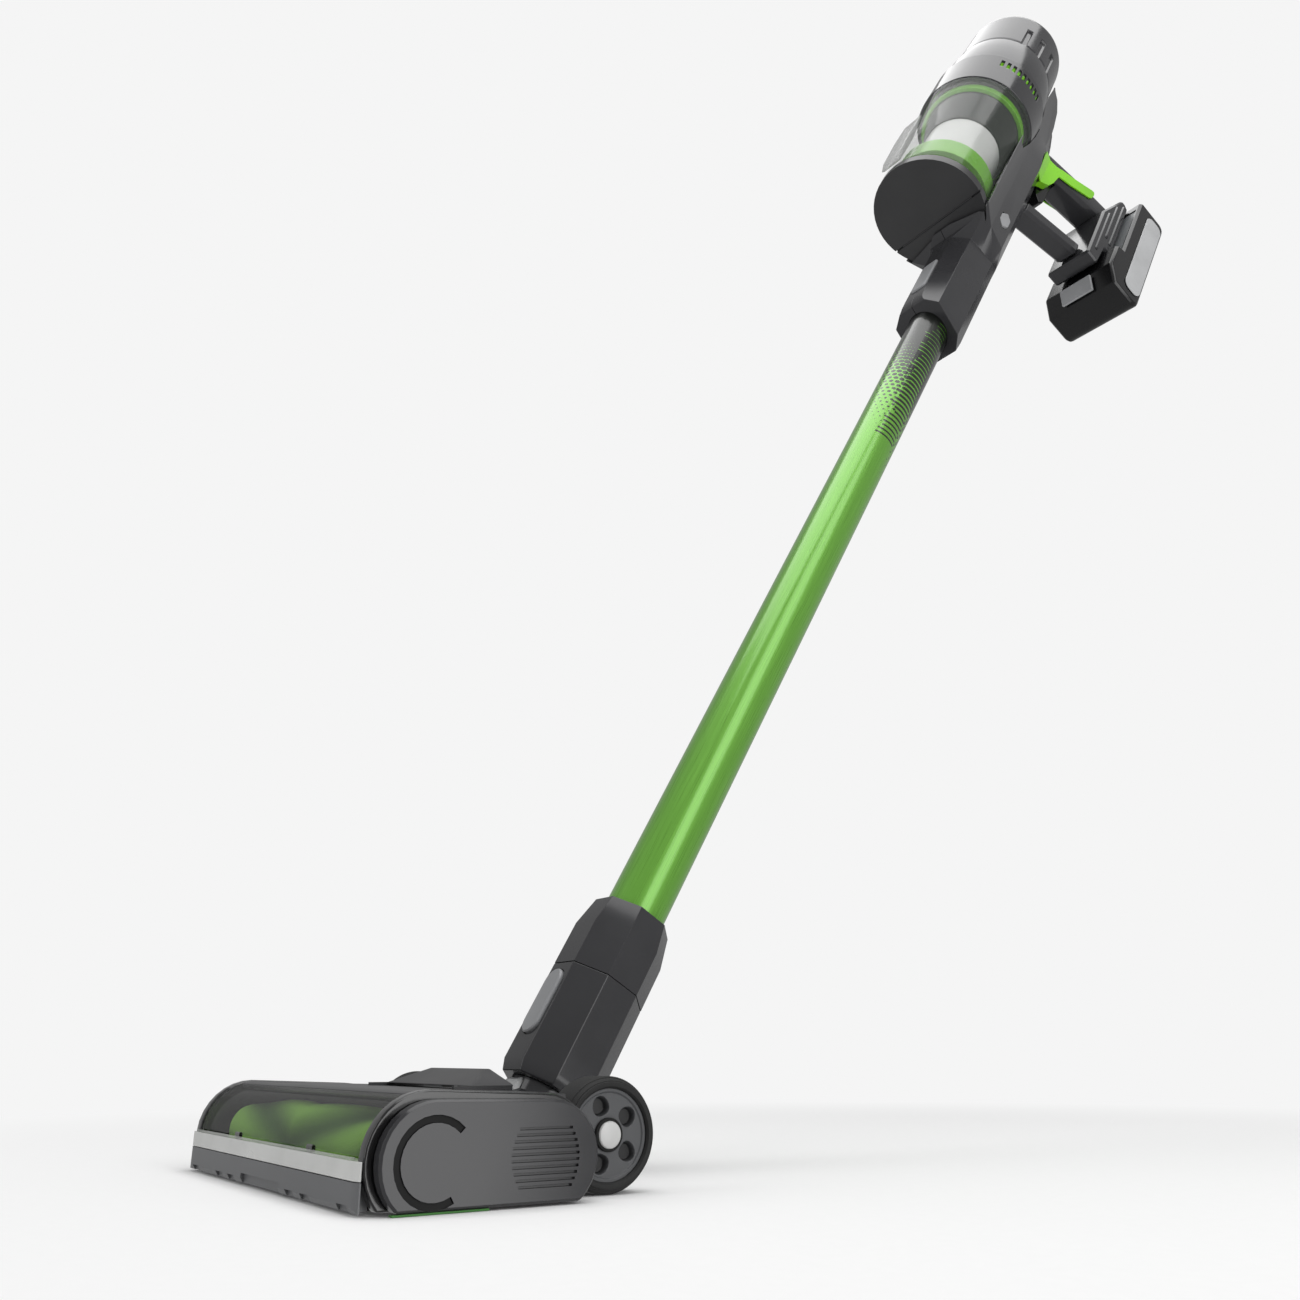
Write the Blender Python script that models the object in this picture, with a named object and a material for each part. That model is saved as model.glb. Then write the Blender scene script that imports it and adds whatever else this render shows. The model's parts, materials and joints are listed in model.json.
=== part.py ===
"""Cordless stick vacuum: floor head, hinged neck, wand, hand unit with dust bin, and battery.

Metres, +Z up.  The floor is z = 0 and the floor head's front faces -Y.  Two sets of
coordinates are used: the head's own (x, y, z) with y = 0 on the brush roller's axis, and the
wand's (x, t, s), where s runs up the leaning wand and t points to its rear.
"""
import math

import bmesh
import bpy
from mathutils import Matrix, Vector

for old_object in list(bpy.data.objects):
    bpy.data.objects.remove(old_object)

# ---- clearances and walls -------------------------------------------------------------------
GAP = 0.0003            # between pieces that touch or seat on each other
RUN_GAP = 0.0004        # round a shaft, and round a tube in its socket
WALL = 0.0022           # moulded shells
SOLE_CLEARANCE = 0.0012

# ---- floor head -----------------------------------------------------------------------------
HEAD_WIDTH = 0.250
HEAD_DEPTH = 0.0515     # from the roller's axis to the centre of the end caps' rear rounding
END_CAP_THICKNESS = 0.0070
END_WALL_THICKNESS = 0.0067
SLIT_COUNT = 10         # of the narrow slits in an end cap
SLIT_PITCH = 0.0024
ROLLER_RADIUS = 0.0181
ROLLER_LOBES = 3
ROLLER_LOBE_HEIGHT = 0.0019
ROLLER_TURNS = 0.75     # how far a lobe winds round, along the whole roller
HOOD_REACH = 0.0070     # from the roller's tips to the hood's outside
BUMPER_DEPTH = 0.0028   # how far the bumper stands in front of the hood
STRIP_HEIGHT = 0.0070
BUMPER_HEIGHT = 0.0107
HUMP_RISE = 0.0078
HUMP_HALF_WIDTH = 0.0520
TUB_TO_BARREL = 0.0012  # between the rear tub and the neck's barrel
WHEEL_RADIUS = 0.0241
WHEEL_WIDTH = 0.0180
WHEEL_INSET = 0.0186    # from the end cap's face to the wheel's outer face
AXLE_DISTANCE = 0.0909  # from the roller's axis to the wheel axle
AXLE_RADIUS = 0.0030
MOTOR_RADIUS = 0.0130
MOTOR_LENGTH = 0.0620
PULLEY_RADIUS = 0.0060
ROLLER_PULLEY_RADIUS = 0.0100
BELT_WIDTH = 0.0050
BELT_THICKNESS = 0.0014

# ---- neck and wand --------------------------------------------------------------------------
LEAN = math.radians(30.5)       # of the wand, back from upright
WAND_OFFSET = 0.0154            # from the pitch axis back to the wand's axis
TUBE_RADIUS = 0.0175
TUBE_WALL = 0.0015
TUBE_SHOWN = 0.566              # between the connector's sleeve and the socket's mouth
TUBE_SEAT = 0.055               # how far the tube goes into its socket, and into the sleeve
NECK_TOP = 0.0250
NECK_RADIUS = 0.0190
BARREL_RADIUS = 0.0155
BARREL_HALF_WIDTH = 0.0210
CONNECTOR_HALF_WIDTH = 0.0250   # across the eight flats, halved
CONNECTOR_LOWER = 0.0627
CONNECTOR_SLEEVE = 0.0437
CONNECTOR_CHAMFER = 0.0180
BUTTON_TRAVEL = 0.0020

# ---- hand unit ------------------------------------------------------------------------------
SPINE_HALF_WIDTH = 0.0240
SPINE_DEPTH = 0.0250            # from the wand's axis to the spine's rear face
SADDLE_HALF_WIDTH = 0.0478      # of the part of the spine that wraps round the bin
BIN_BUTTON_LEVEL = 0.1530       # above the socket's mouth
SOCKET_FRONT = 0.0265            # from the wand's axis to the socket's front face
SOCKET_LENGTH = 0.1220          # from the mouth up to the step under the lid
BIN_RADIUS = 0.0500             # at the lid
BIN_FLARE = 0.0033
BIN_LENGTH = 0.1340
CRADLE_BACK = 0.0027            # the round seat for the bin, behind the wand's axis
LID_THICKNESS = 0.0080
LATCH_STAND_OFF = 0.0036        # room to press the latch's upper end in
LID_HINGE_BACK = 0.0105         # from the bin's axis towards the spine
COLLAR_LENGTH = 0.0454
VENT_COUNT = 9                  # slots on each side of the collar
VENT_PITCH = 0.0056
MOTOR_SHELL_LENGTH = 0.0437
CAP_LENGTH = 0.0627
CAP_STEP = 0.0034               # from the motor shell's outside in to the cap's
CAP_TAPER = 0.0012
CYCLONE_RADIUS = 0.0350
CYCLONE_LENGTH = 0.0760
STRUT_HALF_WIDTH = 0.0110
STRUT_HEIGHT = 0.0160
GRIP_HALF_WIDTH = 0.0140
GRIP_HEIGHT = 0.0290
GRIP_RISE = 0.2600              # rise along the wand per unit of reach to the rear
GRIP_ROOT = 0.0243              # where the grip starts, behind the wand's axis
GRIP_LENGTH = 0.0755            # from the spine to the battery dock
FINGER_ROOM = 0.0570            # between strut and grip
STRUT_LEVEL = 0.2308            # of the strut's underside, above the socket's mouth
DOCK_DEPTH = 0.0275
DOCK_HALF_WIDTH = 0.0240
DOCK_HEIGHT = 0.1140
DOCK_CHAMFER_HEIGHT = 0.0410
DOCK_CHAMFER_DEPTH = 0.0160
BATTERY_DEPTH = 0.0390
BATTERY_HALF_WIDTH = 0.0385
BATTERY_LENGTH = 0.1400
LABEL_WIDTH = 0.0220
LABEL_LENGTH = 0.1200

# ---- finishes: colour, roughness, metallic, alpha --------------------------------------------
DARK = (0.045, 0.045, 0.047), 0.42, 0.0, 1.0
BLACK = (0.012, 0.012, 0.013), 0.38, 0.0, 1.0
GREY = (0.32, 0.32, 0.32), 0.45, 0.0, 1.0
PALE = (0.52, 0.52, 0.52), 0.40, 0.0, 1.0
GREEN = (0.21, 0.56, 0.02), 0.35, 0.0, 1.0
TUBE_GREEN = (0.14, 0.36, 0.04), 0.28, 0.3, 1.0
CLEAR = (0.55, 0.57, 0.55), 0.08, 0.0, 0.35
RUBBER = (0.02, 0.02, 0.02), 0.75, 0.0, 1.0
STEEL = (0.56, 0.57, 0.58), 0.30, 1.0, 1.0
SILVER = (0.40, 0.40, 0.40), 0.35, 0.4, 1.0
FOAM = (0.62, 0.62, 0.60), 0.90, 0.0, 1.0

# ---- values worked out from the sizes above ---------------------------------------------------
ROLLER_Z = ROLLER_RADIUS + 0.0002
HOOD_RADIUS = ROLLER_RADIUS + HOOD_REACH
PANEL_RADIUS = HOOD_RADIUS - 0.0026
INNER_X = HEAD_WIDTH / 2 - END_CAP_THICKNESS - END_WALL_THICKNESS - GAP
COVER_TOP = ROLLER_Z + HOOD_RADIUS
TUB_TOP = COVER_TOP - 0.0047
TUB_FRONT = HOOD_RADIUS - WALL
TUB_BACK = AXLE_DISTANCE - BARREL_RADIUS - TUB_TO_BARREL
SOLE_TOP = SOLE_CLEARANCE + 0.0023
WALL_RIM = 0.0008
BUMPER_FRONT = -HOOD_RADIUS - BUMPER_DEPTH
WHEEL_X = HEAD_WIDTH / 2 - WHEEL_INSET
WHEEL_ROOM = 0.0014
LUG_X = WHEEL_X - WHEEL_WIDTH - WHEEL_ROOM
ARCH_Y = AXLE_DISTANCE - WHEEL_RADIUS - WHEEL_ROOM
AXLE = Vector((0.0, AXLE_DISTANCE, WHEEL_RADIUS))
MOTOR_AXIS = Vector((0.0, HEAD_DEPTH - 0.0015, ROLLER_Z + 0.0037))
BELT_X = INNER_X - 0.0127
CONNECTOR_BASE = NECK_TOP + GAP
CONNECTOR_SEAM = CONNECTOR_BASE + CONNECTOR_LOWER
CONNECTOR_TOP = CONNECTOR_SEAM + GAP + CONNECTOR_SLEEVE
SOCKET_BORE = TUBE_RADIUS + RUN_GAP
TUBE_BASE = CONNECTOR_TOP - TUBE_SEAT - 0.030
MOUTH = CONNECTOR_TOP + TUBE_SHOWN
COLLAR_RADIUS = BIN_RADIUS + BIN_FLARE + GAP
CRADLE_RADIUS = COLLAR_RADIUS + GAP * 2
BIN_AXIS = CRADLE_BACK - CRADLE_RADIUS
LID_BASE = SOCKET_LENGTH + 0.003
BIN_BASE = LID_BASE + LID_THICKNESS + GAP
COLLAR_BASE = BIN_BASE + BIN_LENGTH + GAP
SHELL_BASE = COLLAR_BASE + COLLAR_LENGTH + GAP
CAP_BASE = SHELL_BASE + MOTOR_SHELL_LENGTH + GAP
CAP_TOP = CAP_BASE + CAP_LENGTH
SHELL_RADIUS = COLLAR_RADIUS - 0.0026
CAP_RADIUS = SHELL_RADIUS - CAP_STEP
STRUT_ROOT = SPINE_DEPTH + GAP
DOCK_FRONT = GRIP_ROOT + GRIP_LENGTH
DOCK_BACK = DOCK_FRONT + DOCK_DEPTH
DOCK_BASE = STRUT_LEVEL + 0.018
BATTERY_FRONT = DOCK_BACK + GAP
BATTERY_TOP = DOCK_BASE + DOCK_HEIGHT
BATTERY_BASE = BATTERY_TOP - BATTERY_LENGTH


# ---- building blocks --------------------------------------------------------------------------
def frame(name, location, parent=None, turn=0.0):
    """An empty that holds a set of pieces; turn is about X."""
    empty = bpy.data.objects.new(name, None)
    bpy.context.collection.objects.link(empty)
    empty.parent = parent
    empty.location = location
    empty.rotation_euler.x = turn
    return empty


def joint(name, location, parent):
    """An empty on a joint's axis.  Its pieces stay in the coordinates of its parent."""
    empty = frame(name, location, parent)
    empty["on_joint"] = True
    return empty


def finish(piece, look):
    """Give a piece its own material."""
    colour, roughness, metallic, alpha = look
    material = bpy.data.materials.new(piece.name)
    material.use_nodes = True
    shader = material.node_tree.nodes["Principled BSDF"]
    shader.inputs["Base Color"].default_value = (*colour, 1.0)
    shader.inputs["Roughness"].default_value = roughness
    shader.inputs["Metallic"].default_value = metallic
    shader.inputs["Alpha"].default_value = alpha
    piece.data.materials.append(material)


def solid(name, points, faces, holder, look):
    """A closed mesh with its faces turned outwards; without a look it is a cutter."""
    mesh = bpy.data.meshes.new(name)
    shape = bmesh.new()
    corners = [shape.verts.new(point) for point in points]
    for face in faces:
        shape.faces.new([corners[index] for index in face])
    bmesh.ops.recalc_face_normals(shape, faces=shape.faces)
    shape.to_mesh(mesh)
    shape.free()
    mesh.shade_smooth()
    mesh.set_sharp_from_angle(angle=math.radians(32))
    piece = bpy.data.objects.new(name, mesh)
    bpy.context.collection.objects.link(piece)
    piece.parent = holder
    if "on_joint" in holder:
        piece.matrix_parent_inverse = Matrix.Translation(-holder.location)
    if look:
        finish(piece, look)
    else:
        piece.hide_render = True
        piece.display_type = "WIRE"
    return piece


def swept(name, rings, holder, look, loop=False):
    """Skin a list of equal rings; the ends are capped unless they loop round."""
    count = len(rings[0])
    points = [point for ring in rings for point in ring]
    faces = []
    for level in range(len(rings) - (0 if loop else 1)):
        low = level * count
        high = (level + 1) % len(rings) * count
        for i in range(count):
            j = (i + 1) % count
            faces.append((low + i, low + j, high + j, high + i))
    if not loop:
        faces.append(tuple(reversed(range(count))))
        faces.append(tuple(range(len(points) - count, len(points))))
    return solid(name, points, faces, holder, look)


def along(axis, first, second, height):
    """A point from its two coordinates across an axis and its height along it."""
    if axis == "x":
        return (height, first, second)
    if axis == "y":
        return (first, height, second)
    return (first, second, height)


def extruded(name, outline, low, high, holder, look, axis="x"):
    """Extrude an outline along an axis, from low to high."""
    rings = [[along(axis, a, b, height) for a, b in outline] for height in (low, high)]
    return swept(name, rings, holder, look)


def turned(name, profile, centre, holder, look, axis="z", steps=32):
    """Turn a profile of (radius, height) about an axis; it closes on itself or at radius 0."""
    solid_core = profile[0][0] == 0.0
    body = profile[1:-1] if solid_core else profile
    points = []
    for radius, height in body:
        for k in range(steps):
            angle = 2 * math.pi * k / steps
            across = (centre[0] + radius * math.cos(angle), centre[1] + radius * math.sin(angle))
            points.append(along(axis, *across, height))
    faces = []
    rows = len(body)
    for row in range(rows if not solid_core else rows - 1):
        low = row * steps
        high = (row + 1) % rows * steps
        for k in range(steps):
            faces.append((low + k, low + (k + 1) % steps, high + (k + 1) % steps, high + k))
    if solid_core:
        faces.append(tuple(range(steps)))
        faces.append(tuple(range((rows - 1) * steps, rows * steps)))
    return solid(name, points, faces, holder, look)


def rod(name, radius, low, high, centre, holder, look, axis="z", steps=24):
    """A plain round bar."""
    profile = [(0.0, low), (radius, low), (radius, high), (0.0, high)]
    return turned(name, profile, centre, holder, look, axis, steps)


def ring(name, inner, outer, low, high, centre, holder, look, axis="z", steps=32):
    """A plain ring or tube."""
    profile = [(inner, low), (outer, low), (outer, high), (inner, high)]
    return turned(name, profile, centre, holder, look, axis, steps)


def arc(centre, radius, start, end, steps):
    """Points on an arc, angles in degrees."""
    angles = [math.radians(start + (end - start) * k / steps) for k in range(steps + 1)]
    return [(centre[0] + radius * math.cos(a), centre[1] + radius * math.sin(a)) for a in angles]


def box_outline(left, right, low, high, corner=0.0, steps=3):
    """A rectangle, with round corners if a radius is given."""
    if not corner:
        return [(left, low), (right, low), (right, high), (left, high)]
    centres = (
        (left + corner, low + corner, 180),
        (right - corner, low + corner, 270),
        (right - corner, high - corner, 0),
        (left + corner, high - corner, 90),
    )
    points = []
    for across, up, start in centres:
        points += arc((across, up), corner, start, start + 90, steps)
    return points


def apply_boolean(piece, tools, operation):
    """Cut the tools from a piece, or join them to it, in order."""
    for tool in tools:
        modifier = piece.modifiers.new(tool.name, "BOOLEAN")
        modifier.operation = operation
        modifier.solver = "EXACT"
        modifier.object = tool


def cut(piece, *tools):
    apply_boolean(piece, tools, "DIFFERENCE")


def join(piece, *tools):
    apply_boolean(piece, tools, "UNION")


def soften(piece, width, segments=1):
    """Round a piece's sharp edges."""
    bevel = piece.modifiers.new("edges", "BEVEL")
    bevel.width = width
    bevel.segments = segments
    bevel.limit_method = "ANGLE"
    bevel.angle_limit = math.radians(40)
    return piece


SIDES = (("left", 1), ("right", -1))


def ordered(side, first, second):
    """A range on the given side of the centre plane, low end first."""
    return sorted((side * first, side * second))


# ---- floor head ---------------------------------------------------------------------------------
def end_outline(radius, rear_radius, base):
    """The head's side outline: a round front, a level top and a round rear on a flat base."""
    front_angle = math.degrees(math.asin((base - ROLLER_Z) / radius))
    rear_angle = math.degrees(math.asin((base - ROLLER_Z) / rear_radius))
    front = arc((0.0, ROLLER_Z), radius, 180 - front_angle, 90, 12)
    return front + arc((HEAD_DEPTH, ROLLER_Z), rear_radius, 90, rear_angle, 12)


def cut_wheel_arches(piece, head):
    """Clear a piece's rear corners for the wheels."""
    arch = box_outline(ARCH_Y, AXLE_DISTANCE * 2, -WHEEL_RADIUS, WHEEL_RADIUS * 4)
    for side_name, side in SIDES:
        low, high = ordered(side, LUG_X, HEAD_WIDTH)
        cut(piece, extruded(piece.name + "_arch_cutter_" + side_name, arch, low, high, head, None))


def sole(head):
    plate_outline = box_outline(-INNER_X, INNER_X, -PANEL_RADIUS + 0.003, TUB_BACK, 0.004)
    plate = extruded("sole_plate", plate_outline, SOLE_CLEARANCE, SOLE_TOP, head, DARK, "z")
    half_mouth = ROLLER_RADIUS * 0.75
    mouth_outline = box_outline(-INNER_X + 0.004, INNER_X - 0.004, -half_mouth, half_mouth)
    cut(plate, extruded("mouth_cutter", mouth_outline, -0.01, 0.01, head, None, "z"))
    cut_wheel_arches(plate, head)


def roller(head):
    """Three soft lobes wound round a core, with a stub at each end and a pulley ring."""
    brush = joint("brush_axis", (0.0, 0.0, ROLLER_Z), head)
    half = BELT_X - BELT_WIDTH - 0.002
    levels = 22
    around = 24
    rings = []
    for level in range(levels + 1):
        x = -half + 2 * half * level / levels
        twist = 2 * math.pi * ROLLER_TURNS * abs(x) / half
        points = []
        for k in range(around):
            angle = 2 * math.pi * k / around
            wave = (math.cos(ROLLER_LOBES * angle + twist) + 1) / 2
            radius = ROLLER_RADIUS - ROLLER_LOBE_HEIGHT * (1 - wave)
            points.append((x, radius * math.cos(angle), ROLLER_Z + radius * math.sin(angle)))
        rings.append(points)
    body = swept("brush_roller", rings, brush, GREEN)
    stub = rod("roller_stub_join", 0.004, -INNER_X + 0.001, INNER_X - 0.001, (0.0, ROLLER_Z),
               head, None, "x", 16)
    wheel = rod("roller_pulley_join", ROLLER_PULLEY_RADIUS, half - 0.001,
                BELT_X + BELT_WIDTH / 2, (0.0, ROLLER_Z), head, None, "x", 24)
    join(body, wheel, stub)
    for side_name, side in SIDES:
        low, high = ordered(side, INNER_X - 0.0055, INNER_X - GAP)
        ring("roller_bearing_" + side_name, 0.004 + GAP, 0.0085, low, high, (0.0, ROLLER_Z),
             head, STEEL, "x", 20)


def brush_drive(head):
    """The brush motor, its pulley and the belt to the roller."""
    centre = (MOTOR_AXIS.y, MOTOR_AXIS.z)
    shaft_start = BELT_X - BELT_WIDTH / 2 - 0.004
    low = shaft_start - GAP - MOTOR_LENGTH
    rod("brush_motor", MOTOR_RADIUS, low, shaft_start - GAP, centre, head, STEEL, "x", 24)
    drive = joint("brush_motor_axis", MOTOR_AXIS, head)
    profile = [
        (0.0, shaft_start), (0.002, shaft_start), (0.002, BELT_X - BELT_WIDTH / 2),
        (PULLEY_RADIUS, BELT_X - BELT_WIDTH / 2), (PULLEY_RADIUS, BELT_X + BELT_WIDTH / 2),
        (0.0, BELT_X + BELT_WIDTH / 2),
    ]
    turned("motor_pulley", profile, centre, drive, STEEL, "x", 20)
    belt_points = []
    for thickness in (GAP + BELT_THICKNESS, GAP):
        belt_points.append(belt_outline(thickness))
    outer, inner = belt_points
    half = BELT_WIDTH / 2 - GAP
    rings = [
        [(BELT_X - half, *p) for p in outer], [(BELT_X + half, *p) for p in outer],
        [(BELT_X + half, *p) for p in inner], [(BELT_X - half, *p) for p in inner],
    ]
    swept("drive_belt", rings, head, RUBBER, loop=True)


def belt_outline(offset):
    """The line a belt follows round both pulleys, at a distance from them."""
    front = Vector((0.0, ROLLER_Z))
    back = Vector((MOTOR_AXIS.y, MOTOR_AXIS.z))
    run = back - front
    heading = math.degrees(math.atan2(run.y, run.x))
    spread = math.degrees(math.acos((ROLLER_PULLEY_RADIUS - PULLEY_RADIUS) / run.length))
    front_points = arc(front, ROLLER_PULLEY_RADIUS + offset, heading + spread,
                       heading + 360 - spread, 16)
    back_points = arc(back, PULLEY_RADIUS + offset, heading - spread, heading + spread, 10)
    return front_points + back_points


def hood(head):
    """The clear window over the roller and the opaque cover behind it."""
    def shell(start, end, steps):
        outside = arc((0.0, ROLLER_Z), HOOD_RADIUS, start, end, steps)
        inside = arc((0.0, ROLLER_Z), HOOD_RADIUS - WALL, end, start, steps)
        return outside, inside
    outside, inside = shell(175, 106, 10)
    reach = INNER_X - GAP
    extruded("hood_window", outside + inside, -reach, reach, head, CLEAR)
    outside, inside = shell(105, 90, 3)
    rear = [(TUB_BACK, COVER_TOP - 0.0022), (TUB_BACK, TUB_TOP + GAP)]
    inside_start = [(WALL, TUB_TOP + GAP)]
    cover = extruded("top_cover", outside + rear + inside_start + inside[1:], -reach, reach, head, DARK)
    cut_wheel_arches(cover, head)
    base = COVER_TOP - 0.0022 * 0.2
    top = base + HUMP_RISE
    rings = []
    for level, half, front, back in (
        (base + GAP, HUMP_HALF_WIDTH, 0.050, TUB_BACK - 0.001),
        (top, HUMP_HALF_WIDTH - 0.021, 0.066, TUB_BACK - 0.004),
    ):
        rings.append([(x, y, level) for x, y in box_outline(-half, half, front, back)])
    swept("hump_cover", rings, head, DARK)


def nose(head):
    """The bumper and the light strip: each a face across the front with a narrower core."""
    reach = HEAD_WIDTH / 2 - END_CAP_THICKNESS - GAP
    core_reach = INNER_X - GAP
    strip_base = SOLE_CLEARANCE + BUMPER_HEIGHT + GAP
    strip_top = strip_base + STRIP_HEIGHT
    face_back = -(HOOD_RADIUS + WALL_RIM + GAP)
    core_back = -(ROLLER_RADIUS + 0.0022)
    bumper_outline = [
        (face_back, strip_base - GAP), (BUMPER_FRONT, strip_base - GAP),
        (BUMPER_FRONT, SOLE_CLEARANCE + 0.002), (BUMPER_FRONT + 0.0012, SOLE_CLEARANCE),
        (face_back, SOLE_CLEARANCE),
    ]
    bumper = extruded("front_bumper", bumper_outline, -reach, reach, head, DARK)
    core = box_outline(face_back - 0.0006, core_back, SOLE_CLEARANCE, strip_base - GAP)
    join(bumper, extruded("bumper_core_join", core, -core_reach, core_reach, head, None))
    notches = []
    for label, near, far, height in (("middle", -0.0260, 0.0280, 0.0042), ("a", 0.0370, 0.0470, 0.0024),
                                     ("b", 0.0560, 0.0670, 0.0024), ("c", 0.0980, 0.1090, 0.0024)):
        notch = box_outline(near, far, SOLE_CLEARANCE - 0.002, SOLE_CLEARANCE + height)
        for side_name, side in SIDES if label != "middle" else SIDES[:1]:
            outline = [(side * x, z) for x, z in notch]
            notches.append(extruded("notch_cutter_" + label + "_" + side_name, outline,
                                    BUMPER_FRONT - 0.002, face_back, head, None, "y"))
    cut(bumper, *notches)
    strip_outline = box_outline(BUMPER_FRONT, face_back, strip_base, strip_top)
    strip = extruded("light_strip", strip_outline, -reach, reach, head, PALE)
    core = box_outline(face_back - 0.0006, core_back - 0.0010, strip_base, strip_top)
    join(strip, extruded("strip_core_join", core, -core_reach, core_reach, head, None))
    for side_name, side in SIDES:
        facet = [(side * (reach - 0.0105), BUMPER_FRONT - 0.001), (side * (reach + 0.002),
                 BUMPER_FRONT - 0.001), (side * (reach + 0.002), face_back - 0.0002)]
        for piece in (bumper, strip):
            cut(piece, extruded(piece.name + "_facet_cutter_" + side_name, facet, -0.01, 0.04, head,
                                None, "z"))


def rear_tub(head):
    """The tub behind the roller, with lugs for the wheel axle and the neck."""
    outline = box_outline(TUB_FRONT, TUB_BACK, SOLE_TOP + GAP, TUB_TOP)
    reach = INNER_X - GAP
    tub = extruded("rear_tub", outline, -reach, reach, head, BLACK)
    cut_wheel_arches(tub, head)
    lugs = []
    lug_outline = arc((AXLE.y, AXLE.z), 0.009, -90, 90, 8)
    lug_outline += [(TUB_BACK - 0.001, AXLE.z + 0.009), (TUB_BACK - 0.001, AXLE.z - 0.009)]
    neck_lug = BARREL_HALF_WIDTH + 0.001
    for side_name, side in SIDES:
        for place, near, far in (("neck", neck_lug, neck_lug + 0.007),
                                 ("wheel", LUG_X - 0.008, LUG_X)):
            low, high = ordered(side, near, far)
            name = place + "_lug_join_" + side_name
            lugs.append(extruded(name, lug_outline, low, high, head, None))
    join(tub, *lugs)
    floor_level = SOLE_TOP + WALL
    cavities = []
    for name, back, half in (("front", ARCH_Y - WALL, reach - WALL),
                             ("rear", TUB_BACK - WALL, LUG_X - WALL)):
        cavity_outline = box_outline(TUB_FRONT + WALL, back, floor_level, TUB_TOP + 0.01)
        cavities.append(extruded(name + "_tub_cutter", cavity_outline, -half, half, head, None))
    low_slot = ROLLER_Z - ROLLER_PULLEY_RADIUS - BELT_THICKNESS - 0.002
    slot_outline = box_outline(TUB_FRONT - 0.01, TUB_FRONT + WALL * 2, low_slot, TUB_TOP + 0.01)
    slot = extruded("belt_slot_cutter", slot_outline, BELT_X - BELT_WIDTH, BELT_X + BELT_WIDTH,
                    head, None)
    bore = rod("axle_bore_cutter", AXLE_RADIUS + GAP, -HEAD_WIDTH, HEAD_WIDTH,
               (AXLE.y, AXLE.z), head, None, "x", 20)
    cut(tub, *cavities, slot, bore)


def end_pieces(head):
    """A black wall that carries the roller, and a grooved cap over it, at each end."""
    base = SOLE_CLEARANCE
    wall_outline = end_outline(HOOD_RADIUS + WALL_RIM, PANEL_RADIUS + 0.0014, base)
    cap_outline = end_outline(PANEL_RADIUS, PANEL_RADIUS - 0.0008, base)
    groove_outer = ROLLER_RADIUS - 0.0011
    groove_inner = groove_outer - 0.0028
    groove_outline = arc((0.0, ROLLER_Z), groove_outer, 45, 300, 20)
    groove_outline += arc((0.0, ROLLER_Z), groove_inner, 300, 45, 20)
    for side_name, side in SIDES:
        outside = HEAD_WIDTH / 2
        split = outside - END_CAP_THICKNESS
        low, high = ordered(side, split - GAP - END_WALL_THICKNESS + GAP, split - GAP)
        extruded("end_wall_" + side_name, wall_outline, low, high, head, BLACK)
        low, high = ordered(side, split, outside)
        cap = soften(extruded("end_cap_" + side_name, cap_outline, low, high, head, DARK), 0.001)
        low, high = ordered(side, outside - 0.0014, outside + 0.005)
        tools = [extruded("groove_cutter_" + side_name, groove_outline, low, high, head, None)]
        for row in range(SLIT_COUNT):
            offset = (row - (SLIT_COUNT - 1) / 2) * SLIT_PITCH
            inset = 0.0042 * (offset / (SLIT_COUNT * SLIT_PITCH / 2)) ** 2
            low_z = ROLLER_Z + offset - 0.0005
            slit = box_outline(HEAD_DEPTH - 0.0188 + inset, HEAD_DEPTH + 0.0123 - inset,
                               low_z, low_z + 0.0010)
            name = "slit_cutter_" + side_name + str(row)
            tools.append(extruded(name, slit, low, high, head, None))
        cut(cap, *tools)


def wheels(head):
    """The steel axle, and a rubber tyre on a hub at each end."""
    centre = (AXLE.y, AXLE.z)
    rod("wheel_axle", AXLE_RADIUS, -WHEEL_X + 0.006, WHEEL_X - 0.006, centre, head, STEEL, "x", 20)
    tyre_inner = WHEEL_RADIUS * 0.80
    for side_name, side in SIDES:
        spin = joint("wheel_axis_" + side_name, AXLE, head)
        outer = side * WHEEL_X
        inner = side * (WHEEL_X - WHEEL_WIDTH)
        step = side * 0.0012
        profile = [
            (tyre_inner + GAP, inner), (WHEEL_RADIUS - 0.0012, inner),
            (WHEEL_RADIUS, inner + step), (WHEEL_RADIUS, outer - step * 2),
            (WHEEL_RADIUS - 0.0020, outer), (tyre_inner + GAP, outer),
        ]
        turned("tyre_" + side_name, profile, centre, spin, RUBBER, "x", 36)
        bore_end = outer - side * 0.0055
        hub = [
            (0.0, bore_end), (AXLE_RADIUS + RUN_GAP, bore_end), (AXLE_RADIUS + RUN_GAP, inner),
            (tyre_inner, inner), (tyre_inner, outer - step), (tyre_inner - 0.003, outer - step),
            (0.0085, outer - step * 3), (0.0085, outer - step), (0.0060, outer), (0.0, outer),
        ]
        turned("wheel_hub_" + side_name, hub, centre, spin, GREY, "x", 30)


# ---- neck, connector and wand -------------------------------------------------------------------
def octagon(half_width, level):
    """Eight flats round the wand's axis, one of them facing the front."""
    corner = half_width / math.cos(math.pi / 8)
    angles = [math.pi / 8 + math.pi / 4 * k for k in range(8)]
    return [(corner * math.cos(a), corner * math.sin(a), level) for a in angles]


def circle(centre, radius, level, steps=24):
    """A ring of points across the wand's axis."""
    angles = [2 * math.pi * k / steps for k in range(steps)]
    return [(centre[0] + radius * math.cos(a), centre[1] + radius * math.sin(a), level)
            for a in angles]


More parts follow.
